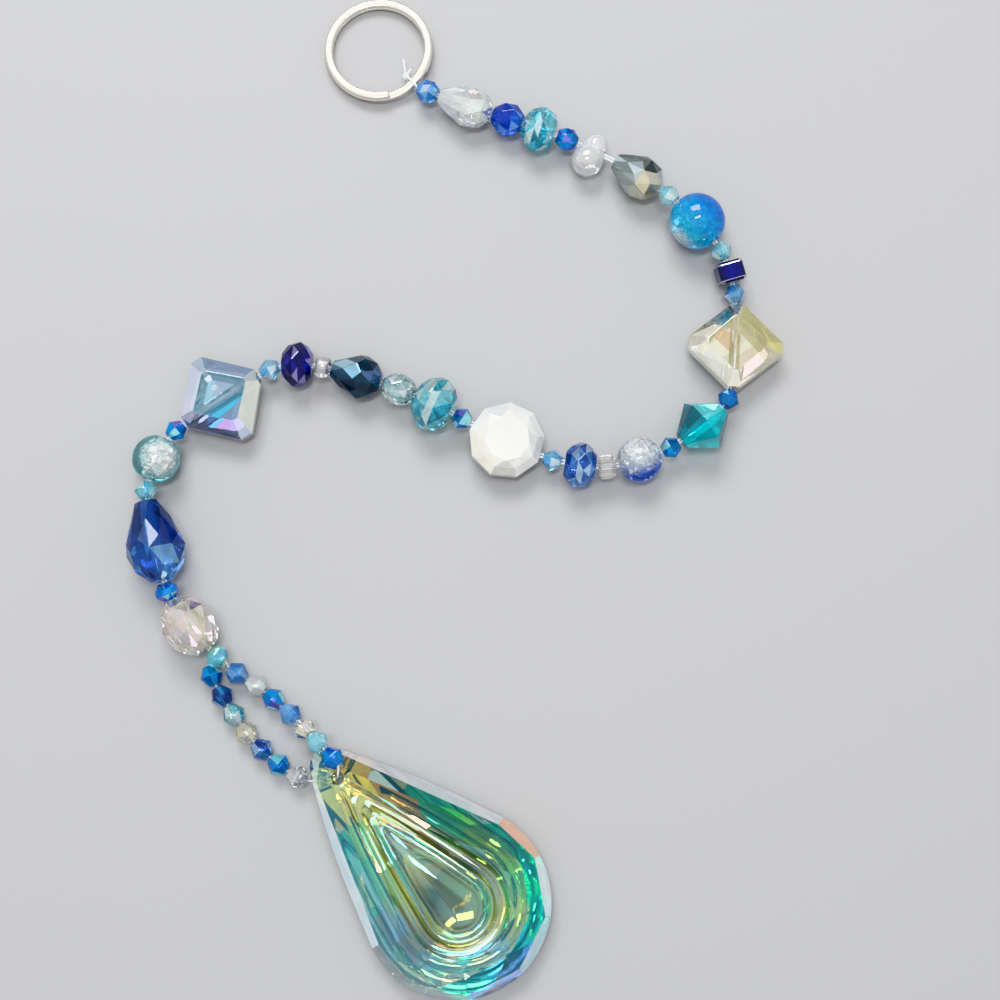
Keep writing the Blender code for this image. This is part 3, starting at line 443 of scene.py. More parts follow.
def facet_tints_and_painted_light(slot, node):
    """How a bead's facets get their tints, painted light, shade and glints among them: by where they face, or
    drawn from its slot's.
    """
    draw = random.Random(node)
    tints = NODE_TINTS_AND_PAINTED_LIGHT.get(node, TINTS_AND_PAINTED_LIGHT[slot])
    middle = bead_middle(node)

    def by_facing(face):
        above, below, stops = FACING_TINTS_AND_PAINTED_LIGHT[node]
        if face.normal.z > LEVEL:
            return above
        if face.normal.z > -LEVEL:
            return stop_colour(stops, facing(face))
        if node not in SQUARE_BACK_REFLECTIONS:
            return below
        # The back's pieces take the painted reflection of the nearest spot
        place = (face.center - middle) / MM
        return min(SQUARE_BACK_REFLECTIONS[node][1], key=lambda spot: math.dist(spot[0], place.xy))[1]

    def pick(face):
        if (face.center - middle).dot(face.normal) < 0:
            return BORE_TINT
        return by_facing(face) if node in FACING_TINTS_AND_PAINTED_LIGHT else draw.choice(tints)

    return pick


# Beads

def cut_bead(node, slot, materials):
    """A bead with whole facets, a tint on each and softly broken edges between them."""
    bm = welded(node)
    bmesh.ops.dissolve_limit(bm, angle_limit=FLAT, verts=bm.verts, edges=bm.edges)
    if node in SQUARE_BACK_REFLECTIONS:
        cut_back(bm, node)
    mesh = mesh_from(bm, node + "_cut")
    tint_facets(mesh, facet_tints_and_painted_light(slot, node))
    facets = [face.normal.copy() for face in mesh.polygons]
    bead = add_object(node + "_cut", mesh)
    edges = bead.modifiers.new("edges", "BEVEL")
    edges.width = (SQUARE_ROUNDING if "square" in node else EDGE_ROUNDING) * MM
    edges.segments = 1
    edges.limit_method = "ANGLE"
    edges.angle_limit = SHARP_FROM
    apply_modifiers(bead)
    # The broken edges of beads tinted by facing, save the teardrops, get painted highlights
    if node in FACING_TINTS_AND_PAINTED_LIGHT and "teardrop" not in node:
        paint_edge_highlights(bead.data, facets)
    return dress(bead, materials.get(node, materials[slot]), slot, node)


def paint_edge_highlights(mesh, facets):
    """Give every face that doesn't lie like one of the facets the pale painted highlight of a broken edge."""
    tint = mesh.color_attributes["tint"]
    for face in mesh.polygons:
        if min(face.normal.angle(facet) for facet in facets) > FLAT:
            for corner in face.loop_indices:
                tint.data[corner].color = EDGE_HIGHLIGHT_TINT


def rounded_copy(node, levels):
    """A smooth copy of a solid that stands for a round thing."""
    bm = welded(node)
    bmesh.ops.join_triangles(bm, faces=bm.faces, angle_face_threshold=JOIN_LEAN,
                             angle_shape_threshold=JOIN_SHAPE)
    crease = bm.edges.layers.float.new("crease_edge")
    for edge in bm.edges:
        if edge.is_manifold and edge.calc_face_angle() > FIRM_FROM:
            edge[crease] = FIRMNESS
    piece = add_object(node + "_round", mesh_from(bm, node + "_round", smooth=True))
    fine = piece.modifiers.new("fine", "SUBSURF")
    fine.levels = levels
    fine.render_levels = levels
    apply_modifiers(piece)
    return piece


def ball_glass(node, slot, materials, colours, lean):
    """A round bead whose tint changes along lean, through its colours' stops."""
    ball = rounded_copy(node, levels=2)
    low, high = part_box(node)
    middle = bead_middle(node)
    radius = max(high - low) / 2

    def pick(face):
        along = (face.center - middle).dot(lean.normalized()) / radius
        return (*stop_colour(colours, along), 0.0)

    tint_facets(ball.data, pick)
    dress(ball, materials[slot], slot, node)
    return middle, radius


# Cracks: their size and how near the skin they come are shares of the bead's radius.  Their rims
# and sizes vary by the two ranges, and a gather over 1/3 draws them in towards their focus.
CRACK_THICK = 0.02
CRACK_SIZE = 0.15
CRACK_SIDES = 6
CRACK_FACES = CRACK_SIDES + 2
CRACK_RIM_RANGE = (0.45, 1.0)
CRACK_SIZE_RANGE = (0.4, 1.0)
CRACK_GATHER = 0.4
CRACK_LIMIT = 0.93


def add_crack(bm, draw, at, size):
    """One thin ragged flake, turned any way."""
    turn = any_way(draw).to_track_quat("Z", "Y").to_matrix()
    rim = []
    for k in range(CRACK_SIDES):
        out = plan_way(2 * math.pi * k / CRACK_SIDES)
        rim.append(out * size * draw.uniform(*CRACK_RIM_RANGE))
    lift = Vector((0, 0, CRACK_THICK * MM / 2))
    below = [bm.verts.new(at + turn @ (point - lift)) for point in rim]
    above = [bm.verts.new(at + turn @ (point + lift)) for point in rim]
    bm.faces.new(below[::-1])
    bm.faces.new(above)
    for k in range(CRACK_SIDES):
        bm.faces.new((below[k - 1], below[k], above[k], above[k - 1]))


CORE_FINENESS = 3
CORE_ROUGHNESS = 0.13


def add_core(bm, draw, at, radius):
    """A crushed lump, as densely cracked glass looks; returns how many faces it has."""
    before = len(bm.faces)
    lump = bmesh.ops.create_icosphere(bm, subdivisions=CORE_FINENESS, radius=radius,
                                      matrix=Matrix.Translation(at))
    for vert in lump["verts"]:
        vert.co = at + (vert.co - at) * draw.uniform(1 - CORE_ROUGHNESS, 1 + CORE_ROUGHNESS)
    return len(bm.faces) - before


def ball_cracks(node, slot, material, crack_sets, centre, radius):
    """The cracks inside a bead, gathered round each set's focus, in shares of the radius."""
    draw = random.Random(node)
    bm = bmesh.new()
    tint_of = []
    core = CORES.get(node)
    core_faces = add_core(bm, draw, centre + core[0] * radius, core[1] * radius) if core else 0
    core_tints = [draw.choice(WHITE_CRACKS) for _ in range(core_faces)]
    for tints, count, focus, reach in crack_sets:
        while count:
            way = any_way(draw).normalized()
            spot = focus * radius + way * reach * radius * draw.random() ** CRACK_GATHER
            size = CRACK_SIZE * radius * draw.uniform(*CRACK_SIZE_RANGE)
            if spot.length < radius * CRACK_LIMIT - size:
                add_crack(bm, draw, centre + spot, size)
                tint_of.append(draw.choice(tints))
                count -= 1
    mesh = mesh_from(bm, node + "_cracks")

    def pick(face):
        if face.index < core_faces:
            return core_tints[face.index]
        return tint_of[(face.index - core_faces) // CRACK_FACES]

    tint_facets(mesh, pick)
    return dress(add_object(node + "_cracks", mesh), material, slot)


# The drop

def outline_circles(outline):
    """The two rounds of an outline: the big one's middle and radius, then the small one's."""
    tip, end, width, corner_r = outline
    return end - width / 2, width / 2, tip + corner_r, corner_r


def teardrop(outline, count):
    """Points of a teardrop outline in (along, across), evenly spread along it."""
    big_at, big_r, small_at, corner_r = outline_circles(outline)
    reach = math.pi / 2 + math.asin((big_r - corner_r) / (big_at - small_at))
    side = math.sqrt((big_at - small_at) ** 2 - (big_r - corner_r) ** 2)
    lengths = (2 * reach * big_r, side, 2 * (math.pi - reach) * corner_r, side)
    out = (math.cos(reach), math.sin(reach))

    def on_side(share):
        """From the round end's tangent point to the tip's, swelling a little outwards."""
        swell = DROP_SIDE_SWELL * 2 * big_r * math.sin(math.pi * share)
        at = mixed((big_at, 0), (small_at, 0), share)
        reach_out = big_r + (corner_r - big_r) * share + swell
        return at[0] + out[0] * reach_out, out[1] * reach_out

    points = []
    for k in range(count):
        at = sum(lengths) * k / count
        if at < lengths[0]:
            angle = -reach + at / big_r
            points.append((big_at + big_r * math.cos(angle), big_r * math.sin(angle)))
            continue
        at -= lengths[0]
        if at < side:
            points.append(on_side(at / side))
            continue
        at -= side
        if at < lengths[2]:
            angle = reach + at / corner_r
            points.append((small_at + corner_r * math.cos(angle), corner_r * math.sin(angle)))
            continue
        at -= lengths[2]
        x, y = on_side(1 - at / side)
        points.append((x, -y))
    return points


OUTLINE = teardrop((0, DROP_LENGTH, DROP_WIDTH, DROP_TIP_R), DROP_POINTS)


def support(angle):
    """How far the drop's outline reaches in a direction, from the tip's end of its axis."""
    return max(x * math.cos(angle) + y * math.sin(angle) for x, y in OUTLINE)


def grind(bm, zones, point, normal, zone):
    """Cut everything on the normal's side of a plane away and close the cut with one facet."""
    geometry = bm.verts[:] + bm.edges[:] + bm.faces[:]
    cut = bmesh.ops.bisect_plane(bm, geom=geometry, dist=DROP_CUT_WELD, plane_co=point,
                                 plane_no=normal, clear_outer=True)
    edges = [e for e in cut["geom_cut"] if isinstance(e, bmesh.types.BMEdge)]
    if len(edges) > 2:
        for face in bmesh.ops.contextual_create(bm, geom=edges)["faces"]:
            face[zones] = zone


def side_plane(angle, slope, start, front):
    """A plane that rises inwards from the outline's tangent at that angle, off the girdle's edge."""
    out = plan_way(angle)
    low, high = DROP_GIRDLE
    point = out * support(angle) + Vector((0, 0, (high if front else low) + start))
    lean = math.radians(slope)
    up = 1 if front else -1
    return point, (out * math.sin(lean) + Vector((0, 0, up * math.cos(lean)))).normalized()


RIM, STAR, BAND, TABLE, BACK_RIM, BACK_STAR, BACK_STEP, GROOVE, RIDGE, DOME, UNDER = range(1, 12)
ROUND_FACETS = (18.7, 56.0, 93.4)
BETWEEN_FACETS = (0.0, 37.0, 75.0, 104.0)
TIP_FACETS = (142.0, 166.0)
SIDE_ANGLE = 112.0
# The cuts in their order: on the front or not, the ways they face in degrees, then for each plane
# its zone, its slope in degrees and how far over the girdle's edge it starts
CUTS = (
    (True, ROUND_FACETS + (SIDE_ANGLE,) + TIP_FACETS, ((RIM, 41, 0.0), (BAND, 32.3, 0.4))),
    (True, BETWEEN_FACETS + (SIDE_ANGLE - 4, 150.0), ((STAR, 20, 2.2),)),
    (False, ROUND_FACETS + (SIDE_ANGLE, 150.0), ((BACK_RIM, 35, 0.0),)),
    (False, BETWEEN_FACETS + (SIDE_ANGLE + 2, 140.0), ((BACK_STAR, 19, -0.55),)),
    (False, ROUND_FACETS + (SIDE_ANGLE - 4, 155.0), ((BACK_STEP, 11, -1.15),)),
)
# Where the back's coat changes colour along its facets: place along the axis and degrees off it
COLOUR_SPLITS = ((4.0, 15), (7.5, -25), (11.0, 30), (14.0, -12), (17.5, 22), (21.0, -35), (25.0, 12),
                 (29.0, -20), (33.0, 40), (37.0, -50), (34.0, 75), (30.0, 105))


def both_sides(angles):
    return sorted({math.radians(a) for a in angles} | {math.radians(-a) for a in angles})


def cut_body():
    """The faceted body: a slab of the outline, ground by planes on the front and the back."""
    bm = bmesh.new()
    zones = bm.faces.layers.int.new("zone")
    base = [bm.verts.new((x, y, 0)) for x, y in OUTLINE]
    slab = bmesh.ops.extrude_face_region(bm, geom=[bm.faces.new(base)])
    lifted = [v for v in slab["geom"] if isinstance(v, bmesh.types.BMVert)]
    bmesh.ops.translate(bm, verts=lifted, vec=(0, 0, DROP_SLAB))
    bmesh.ops.recalc_face_normals(bm, faces=bm.faces)
    for face in bm.faces:
        face[zones] = UNDER if face.normal.z < -LEVEL else RIM
    for front, ways, planes in CUTS:
        for angle in both_sides(ways):
            for zone, slope, start in planes:
                grind(bm, zones, *side_plane(angle, slope, start, front), zone)
    rise = Vector((DROP_FULL_FROM, 0, DROP_PLATEAU - DROP_TIP_PLATEAU))
    grind(bm, zones, Vector((0, 0, DROP_PLATEAU)), Vector((0, 0, 1)), TABLE)
    grind(bm, zones, Vector((0, 0, DROP_TIP_PLATEAU)), Vector((-rise.z, 0, rise.x)), TABLE)
    for along, lean in COLOUR_SPLITS:
        back = [face for face in bm.faces if face[zones] in (BACK_RIM, BACK_STAR, BACK_STEP)]
        split_faces(bm, back, Vector((along, 0, 0)), plan_way(math.radians(lean)), DROP_CUT_WELD)
    return bm, zones


def front_height(along, height):
    """A height of the carved middle, thinned towards the tip with the plateau."""
    full = min(along / DROP_FULL_FROM, 1.0)
    return height - (DROP_PLATEAU - DROP_TIP_PLATEAU) * (1 - full)


def fill_with_rings(bm, zones, old_zone, stages, height_at):
    """Put nested teardrop rings in place of a zone's faces, with a flat margin round them."""
    old = [face for face in bm.faces if face[zones] == old_zone]
    bmesh.ops.delete(bm, geom=old, context="FACES")
    open_edges = [edge for edge in bm.edges if edge.is_boundary]
    rings = [[bm.verts.new((x, y, height_at(x, height))) for x, y in teardrop(outline, DROP_POINTS)]
             for _, outline, height in stages]
    margin = [bm.edges.new((rings[0][k - 1], rings[0][k])) for k in range(DROP_POINTS)]
    for face in bmesh.ops.triangle_fill(bm, use_beauty=True, edges=open_edges + margin)["geom"]:
        if isinstance(face, bmesh.types.BMFace):
            face[zones] = old_zone
    for (zone, _, _), inner, outer in zip(stages[1:], rings[1:], rings):
        for k in range(DROP_POINTS):
            face = bm.faces.new((outer[k - 1], outer[k], inner[k], inner[k - 1]))
            face[zones] = zone
            face.smooth = old_zone == TABLE
    cap = bm.faces.new(rings[-1])
    cap[zones] = stages[-1][0]
    cap.smooth = old_zone == TABLE


# How many rings each part of the carved middle and the back's coat has
GROOVE_RINGS = 10
RIDGE_RINGS = 5
DOME_RINGS = 12
COAT_RINGS = 8


def front_stages():
    """A groove, a ridge, a valley and the dome, from the plateau's edge inwards."""
    stages = [(TABLE, DROP_EDGE, DROP_PLATEAU)]
    for k in range(1, GROOVE_RINGS + 1):
        share = k / GROOVE_RINGS
        dip = DROP_GROOVE_DEPTH * 4 * share * (1 - share)
        height = DROP_PLATEAU + (DROP_RIDGE_TOP - DROP_PLATEAU) * share - dip
        stages.append((GROOVE, mixed(DROP_EDGE, DROP_RIDGE, share), height))
    for k in range(1, RIDGE_RINGS + 1):
        share = k / RIDGE_RINGS
        height = DROP_VALLEY + (DROP_RIDGE_TOP - DROP_VALLEY) * (1 - share) ** 2
        stages.append((RIDGE, mixed(DROP_RIDGE, DROP_DOME, share), height))
    for k in range(1, DOME_RINGS + 1):
        share = 1 - math.cos(math.pi / 2 * k / DOME_RINGS)
        height = DROP_VALLEY + (DROP_TOP - DROP_VALLEY) * math.sqrt(1 - (1 - share) ** 2)
        stages.append((DOME, mixed(DROP_DOME, DROP_DOME_MIDDLE, share), height))
    return stages


def coat_outline(share):
    """An outline on the flat back, from the coat's edge at 0 to its middle at 1."""
    return mixed(DROP_COAT_EDGE, DROP_DOME_MIDDLE, share)


def back_stages():
    """Rings on the flat back, which only carry colours: its coat's, with painted shade towards the middle on
    the lower left side.
    """
    return [(UNDER, coat_outline(k / COAT_RINGS), 0.0) for k in range(COAT_RINGS + 1)]


# Colours round the drop by the angle from its axis, in degrees; the upper right side is positive. The clear
# front's colours, by the way each facet faces, are painted reflections of what it mirrors and lets through
# from the coloured back.
FRONT_PAINTED_REFLECTIONS = {
    RIM: ((-180, (0.86, 0.97, 0.78, 0.4)), (-112, (0.95, 0.97, 0.98, 0.7)), (-80, (0.90, 0.94, 0.95, 0.6)),
          (-50, (0.92, 0.95, 0.93, 0.6)), (-25, (0.62, 0.66, 0.97, 0.6)), (-12, (0.55, 0.60, 0.98, 0.6)),
          (10, (0.70, 0.80, 0.82, 0.6)), (45, (0.95, 0.97, 0.98, 0.7)), (60, (0.96, 0.97, 0.97, 0.7)),
          (85, (0.90, 0.50, 0.34, 0.9)), (100, (0.90, 0.60, 0.46, 0.9)), (115, (0.92, 0.90, 0.91, 0.6)),
          (150, (0.80, 0.86, 0.88, 0.6)), (180, (0.86, 0.97, 0.78, 0.4))),
    STAR: ((-180, (0.97, 0.97, 0.75, 0.05)), (-120, (0.80, 0.98, 0.95, 0.05)), (-60, (0.92, 0.96, 0.97, 0.1)),
           (0, (0.70, 0.92, 0.99, 0.05)), (60, (0.70, 0.98, 0.85, 0.0)), (120, (0.90, 0.98, 0.90, 0.05)),
           (180, (0.97, 0.97, 0.75, 0.05))),
}
FRONT_PAINTED_REFLECTIONS[BAND] = FRONT_PAINTED_REFLECTIONS[STAR]
# The carved middle by the place round it: the coloured back as seen through the clear front, painted on, with
# painted highlights in the white stops of the groove and the ridge and painted shade in the dome's dark lower
# left stops
CARVED_PAINTED_LIGHT = {
    GROOVE: (
        (-180, (0.98, 0.92, 0.30, 0.15)), (-117, (0.99, 0.94, 0.12, 0.2)),
        (-90, (0.98, 0.90, 0.25, 0.15)), (-68, (0.50, 0.40, 0.22, 0.2)),
        (-43, (0.44, 0.35, 0.22, 0.15)), (-25, (0.62, 0.54, 0.38, 0.2)), (-8, (0.95, 0.93, 0.86, 0.4)),
        (22, (0.98, 0.88, 0.25, 0.25)), (45, (0.80, 0.72, 0.50, 0.3)), (70, (0.44, 0.35, 0.22, 0.4)),
        (88, (0.32, 0.24, 0.14, 0.45)), (110, (0.50, 0.39, 0.22, 0.45)),
        (142, (0.36, 0.26, 0.13, 0.45)), (162, (0.62, 0.40, 0.12, 0.35)),
        (180, (0.98, 0.92, 0.30, 0.15))),
    RIDGE: ((-180, (0.70, 0.92, 0.88, 0.2)), (-120, (0.80, 0.95, 0.75, 0.2)), (-60, (0.90, 0.96, 0.55, 0.15)),
            (-10, (0.90, 0.96, 0.80, 0.3)), (20, (0.20, 0.80, 0.85, 0.2)), (60, (0.60, 0.90, 0.92, 0.4)),
            (80, (0.95, 0.97, 0.97, 0.6)), (150, (0.95, 0.97, 0.97, 0.5)), (180, (0.70, 0.92, 0.88, 0.2))),
    DOME: ((-180, (0.95, 0.92, 0.62, 0.1)), (-140, (0.26, 0.22, 0.08, 0.25)), (-75, (0.26, 0.23, 0.09, 0.25)),
           (0, (0.72, 0.74, 0.50, 0.2)), (50, (0.60, 0.86, 0.40, 0.15)), (100, (0.84, 0.92, 0.24, 0.15)),
           (180, (0.95, 0.92, 0.70, 0.1))),
}
PLAIN_FRONT = (0.88, 0.97, 0.84, 0.06)
BACK_TINT = {
    BACK_RIM: (
        (-180, (0.92, 0.96, 0.80, 0.5)), (-110, (0.85, 0.95, 0.96, 0.6)), (-40, (0.90, 0.93, 0.94, 0.6)),
        (0, (0.62, 0.70, 0.97, 0.5)), (40, (0.85, 0.94, 0.92, 0.6)), (85, (0.95, 0.72, 0.62, 0.5)),
        (120, (0.85, 0.92, 0.94, 0.6)), (180, (0.92, 0.96, 0.80, 0.5))),
    BACK_STAR: (
        (-180, (0.98, 0.88, 0.10, 0.9)), (-167, (0.98, 0.86, 0.10, 0.9)), (-160, (0.00, 0.88, 0.62, 0.9)),
        (-150, (0.10, 0.80, 0.85, 0.85)), (-130, (0.62, 0.80, 0.84, 0.7)), (-108, (0.55, 0.72, 0.84, 0.7)),
        (-90, (0.10, 0.40, 0.82, 0.8)), (-75, (0.50, 0.70, 0.74, 0.6)), (-56, (0.55, 0.78, 0.74, 0.6)),
        (-40, (0.00, 0.84, 0.98, 0.9)), (-24, (0.00, 0.88, 0.72, 0.9)), (-12, (0.85, 0.95, 0.96, 0.8)),
        (4, (0.08, 0.18, 0.96, 0.9)), (12, (0.00, 0.80, 0.90, 0.9)), (24, (0.02, 0.92, 0.50, 0.9)),
        (34, (0.00, 0.86, 0.78, 0.9)), (46, (0.02, 1.00, 0.42, 0.95)), (58, (0.00, 0.75, 0.50, 0.85)),
        (92, (0.10, 0.92, 0.50, 0.9)), (110, (0.20, 0.92, 0.62, 0.85)), (130, (0.00, 0.85, 0.62, 0.85)),
        (152, (0.00, 0.72, 0.50, 0.8)), (160, (0.40, 0.42, 0.20, 0.8)), (168, (0.86, 0.42, 0.05, 0.9)),
        (180, (0.90, 0.56, 0.06, 0.9))),
    BACK_STEP: (
        (-180, (0.98, 0.88, 0.10, 0.9)), (-167, (0.98, 0.86, 0.10, 0.9)), (-158, (0.00, 0.92, 0.60, 0.9)),
        (-135, (0.45, 0.82, 0.90, 0.8)), (-112, (0.05, 0.60, 0.70, 0.8)), (-98, (0.20, 0.30, 0.75, 0.8)),
        (-84, (0.34, 0.24, 0.14, 0.7)), (-68, (0.10, 0.66, 0.68, 0.8)), (-50, (0.40, 0.74, 0.76, 0.7)),
        (-38, (0.00, 0.80, 0.95, 0.9)), (-20, (0.00, 0.60, 0.95, 0.9)), (4, (0.00, 0.78, 0.95, 0.9)),
        (20, (0.05, 0.95, 0.45, 0.9)), (46, (0.02, 1.00, 0.42, 0.95)), (60, (0.00, 0.60, 0.20, 0.7)),
        (72, (0.00, 0.16, 0.07, 0.5)), (98, (0.00, 0.24, 0.10, 0.5)), (108, (0.40, 0.95, 0.10, 0.9)),
        (138, (0.15, 0.95, 0.10, 0.9)), (152, (0.00, 0.70, 0.50, 0.8)), (166, (0.80, 0.38, 0.05, 0.9)),
        (180, (0.98, 0.88, 0.10, 0.9))),
}
# Some of the back's facets get a pale painted glint, and the others stray this far from their place's colour
PAINTED_GLINT_TINT = (0.86, 0.99, 0.93, 0.85)
PAINTED_GLINT_SHARE = 0.12
COLOUR_STRAY = 9.0
# The flat back's colour goes in blocks this wide, each ring's turned on from the last, in degrees
UNDER_BLOCK = 15
UNDER_TURN = 7
OUTLINE_STEPS = 12
# The flat back's coat from its edge to its middle, each ring by angle; the two inner rings' dark olive on the
# lower left is the coat's olive darkened with painted shade
UNDER_RINGS = (
    ((-180, (0.98, 0.88, 0.12, 0.85)), (-160, (0.20, 0.86, 0.45, 0.85)), (-140, (0.20, 0.80, 0.80, 0.85)),
     (-115, (0.45, 0.70, 0.95, 0.8)), (-92, (0.25, 0.40, 0.80, 0.8)), (-70, (0.34, 0.26, 0.20, 0.6)),
     (-45, (0.20, 0.72, 0.80, 0.8)), (-20, (0.50, 0.60, 0.40, 0.8)), (0, (0.60, 0.85, 0.80, 0.8)),
     (25, (0.90, 0.85, 0.20, 0.8)), (50, (0.30, 0.92, 0.20, 0.85)), (92, (0.62, 0.95, 0.05, 0.85)),
     (120, (0.20, 0.90, 0.30, 0.85)), (150, (0.10, 0.70, 0.50, 0.8)), (165, (0.70, 0.38, 0.08, 0.8)),
     (180, (0.98, 0.88, 0.12, 0.85))),
    ((-180, (0.98, 0.88, 0.20, 0.85)), (-90, (0.95, 0.88, 0.10, 0.85)), (0, (0.85, 0.72, 0.20, 0.8)),
     (60, (0.70, 0.50, 0.18, 0.8)), (120, (0.32, 0.22, 0.09, 0.7)), (180, (0.98, 0.88, 0.20, 0.85))),
    ((-180, (0.50, 0.36, 0.12, 0.7)), (-60, (0.30, 0.22, 0.10, 0.7)), (0, (0.80, 0.78, 0.30, 0.8)),
     (90, (0.45, 0.34, 0.16, 0.7)), (180, (0.50, 0.36, 0.12, 0.7))),
    ((-180, (0.50, 0.85, 0.80, 0.8)), (-90, (0.60, 0.80, 0.15, 0.8)), (0, (0.70, 0.88, 0.40, 0.8)),
     (60, (0.00, 0.62, 0.80, 0.85)), (120, (0.15, 0.80, 0.75, 0.8)), (180, (0.50, 0.85, 0.80, 0.8))),
    ((-180, (0.80, 0.92, 0.20, 0.8)), (-90, (0.18, 0.16, 0.04, 0.8)), (0, (0.40, 0.48, 0.20, 0.8)),
     (90, (0.50, 0.92, 0.12, 0.8)), (180, (0.80, 0.92, 0.20, 0.8))),
    ((-180, (0.86, 0.76, 0.18, 0.8)), (-90, (0.24, 0.20, 0.05, 0.8)), (0, (0.36, 0.36, 0.18, 0.8)),
     (90, (0.62, 0.78, 0.16, 0.8)), (180, (0.86, 0.76, 0.18, 0.8))),
)


def outline_share(point):
    """Where a point of the flat back lies: 0 at the coat's outer ring, 1 in its middle."""
    for k in range(OUTLINE_STEPS + 1):
        big_at, big_r, small_at, corner_r = outline_circles(coat_outline(k / OUTLINE_STEPS))
        share = min(max((point.x - small_at) / (big_at - small_at), 0.0), 1.0)
        reach = corner_r + (big_r - corner_r) * share
        if math.hypot(point.x - (small_at + (big_at - small_at) * share), point.y) > reach:
            return k / OUTLINE_STEPS
    return 1.0


def drop_tint(zone, face):
    """The tint of one face of the drop, in the drop's own frame and in millimetres."""
    out = face.center - DROP_MIDDLE
    place = math.degrees(math.atan2(out.y, out.x))
    if zone in FRONT_PAINTED_REFLECTIONS:
        return stop_colour(FRONT_PAINTED_REFLECTIONS[zone], facing(face))
    if zone in CARVED_PAINTED_LIGHT:
        return stop_colour(CARVED_PAINTED_LIGHT[zone], place)
    draw = random.Random(round(face.center.x * 100) * 1000 + round(face.center.y * 100))
    if zone == BACK_RIM:
        return stop_colour(BACK_TINT[zone], place)
    if zone in (BACK_STAR, BACK_STEP):
        # A pale painted glint on a share of the back's facets
        if draw.random() < PAINTED_GLINT_SHARE:
            return PAINTED_GLINT_TINT
        astray = min(max(place + draw.uniform(-COLOUR_STRAY, COLOUR_STRAY), -180.0), 180.0)
        return stop_colour(BACK_TINT[zone], astray)
    if zone == UNDER:
        share = outline_share(face.center) * (len(UNDER_RINGS) - 1)
        ring = min(int(share), len(UNDER_RINGS) - 2)
        turn = UNDER_TURN * ring
        block = round((place + turn) / UNDER_BLOCK) * UNDER_BLOCK - turn
        return mixed(stop_colour(UNDER_RINGS[ring], block), stop_colour(UNDER_RINGS[ring + 1], block),
                     share - ring)
    return PLAIN_FRONT


def bore_drop(drop):
    """Cut the thread's hole through the tip."""
    bm = bmesh.new()
    radius = DROP_HOLE_D / 2
    bmesh.ops.create_cone(bm, cap_ends=True, segments=DROP_HOLE_SIDES, radius1=radius,
                          radius2=radius, depth=DROP_DRILL,
                          matrix=Matrix.Translation((DROP_HOLE_FROM_TIP, 0, 0)))
    drill = add_object("drill", mesh_from(bm, "drill"))
    cut = drop.modifiers.new("bore", "BOOLEAN")
    cut.operation = "DIFFERENCE"
    cut.solver = "EXACT"
    cut.object = drill
    apply_modifiers(drop)
    bpy.data.objects.remove(drill, do_unlink=True)


def make_drop(materials):
    bm, zones = cut_body()
    fill_with_rings(bm, zones, TABLE, front_stages(), front_height)
    fill_with_rings(bm, zones, UNDER, back_stages(), lambda along, height: height)
    bmesh.ops.remove_doubles(bm, verts=bm.verts, dist=DROP_WELD)
    bmesh.ops.recalc_face_normals(bm, faces=bm.faces)
    drop = add_object("crystal_drop_cut", mesh_from(bm, "crystal_drop_cut"))
    bore_drop(drop)
    mesh = drop.data
    zone_of = [item.value for item in mesh.attributes["zone"].data]
    tint_facets(mesh, lambda face: drop_tint(zone_of[face.index], face))
    mesh.transform(Matrix.Translation(DROP_TIP * MM) @ Matrix.Rotation(DROP_HEADING, 4, "Z")
                   @ Matrix.Scale(MM, 4))
    return dress(drop, materials["drop_crystal"], "drop_crystal", "crystal_drop")


# Everything in its place

WHITE_CRACKS = ((0.99, 0.99, 0.99, 0.0), (0.97, 0.99, 0.99, 0.4), (0.99, 0.99, 0.99, 0.0),
                (0.82, 0.92, 0.95, 0.1), (0.99, 0.99, 0.97, 0.1))
BLUE_CRACKS = ((0.20, 0.80, 0.99, 0.3), (0.04, 0.50, 0.97, 0.1), (0.60, 0.96, 0.99, 0.4))

# Glass along the lean (-1 to 1), the lean, then sets of cracks: tints, count, focus, reach
BALLS = {
    "bead_09_azure_crackle_ball": (
        ((-1.0, (0.97, 0.99, 0.99)), (-0.85, (0.85, 0.97, 0.99)), (-0.65, (0.05, 0.72, 0.98)),
         (0.2, (0.00, 0.46, 0.97)), (1.0, (0.00, 0.10, 0.80))), Vector((1, 1, 0.2)),
        ((BLUE_CRACKS, 280, Vector((0.0, 0.0, 0.1)), 0.85),
         (WHITE_CRACKS, 50, Vector((-0.58, -0.58, 0.1)), 0.3))),
    "bead_17_blue_crackle_ball": (
        ((-1.0, (0.96, 0.98, 0.99)), (0.1, (0.90, 0.95, 0.99)), (0.38, (0.02, 0.14, 0.86)),
         (1.0, (0.01, 0.08, 0.80))), Vector((0.5, -1.2, -0.6)),
        ((WHITE_CRACKS, 300, Vector((0.0, 0.12, 0.15)), 0.66),)),
    "bead_31_teal_crackle_ball": (
        ((-1.0, (0.97, 0.99, 0.98)), (-0.66, (0.93, 0.99, 0.98)), (-0.35, (0.24, 0.78, 0.82)),
         (0.1, (0.00, 0.46, 0.55)), (1.0, (0.00, 0.36, 0.46))), Vector((-0.4, 0.15, -1)),
        ((WHITE_CRACKS, 300, Vector((0.16, -0.03, 0.15)), 0.66),)),
}
# The crushed white middle of two balls: its place and size in shares of the radius
CORES = {
    "bead_17_blue_crackle_ball": (Vector((-0.05, 0.15, 0.12)), 0.50),
    "bead_31_teal_crackle_ball": (Vector((0.16, -0.02, 0.12)), 0.56),
}
ROUND_NODES = ("bead_06_clear_nugget", "bead_26_clear_seed")

FLOOR_HALF = 3.0
FLOOR_BELOW = 0.02
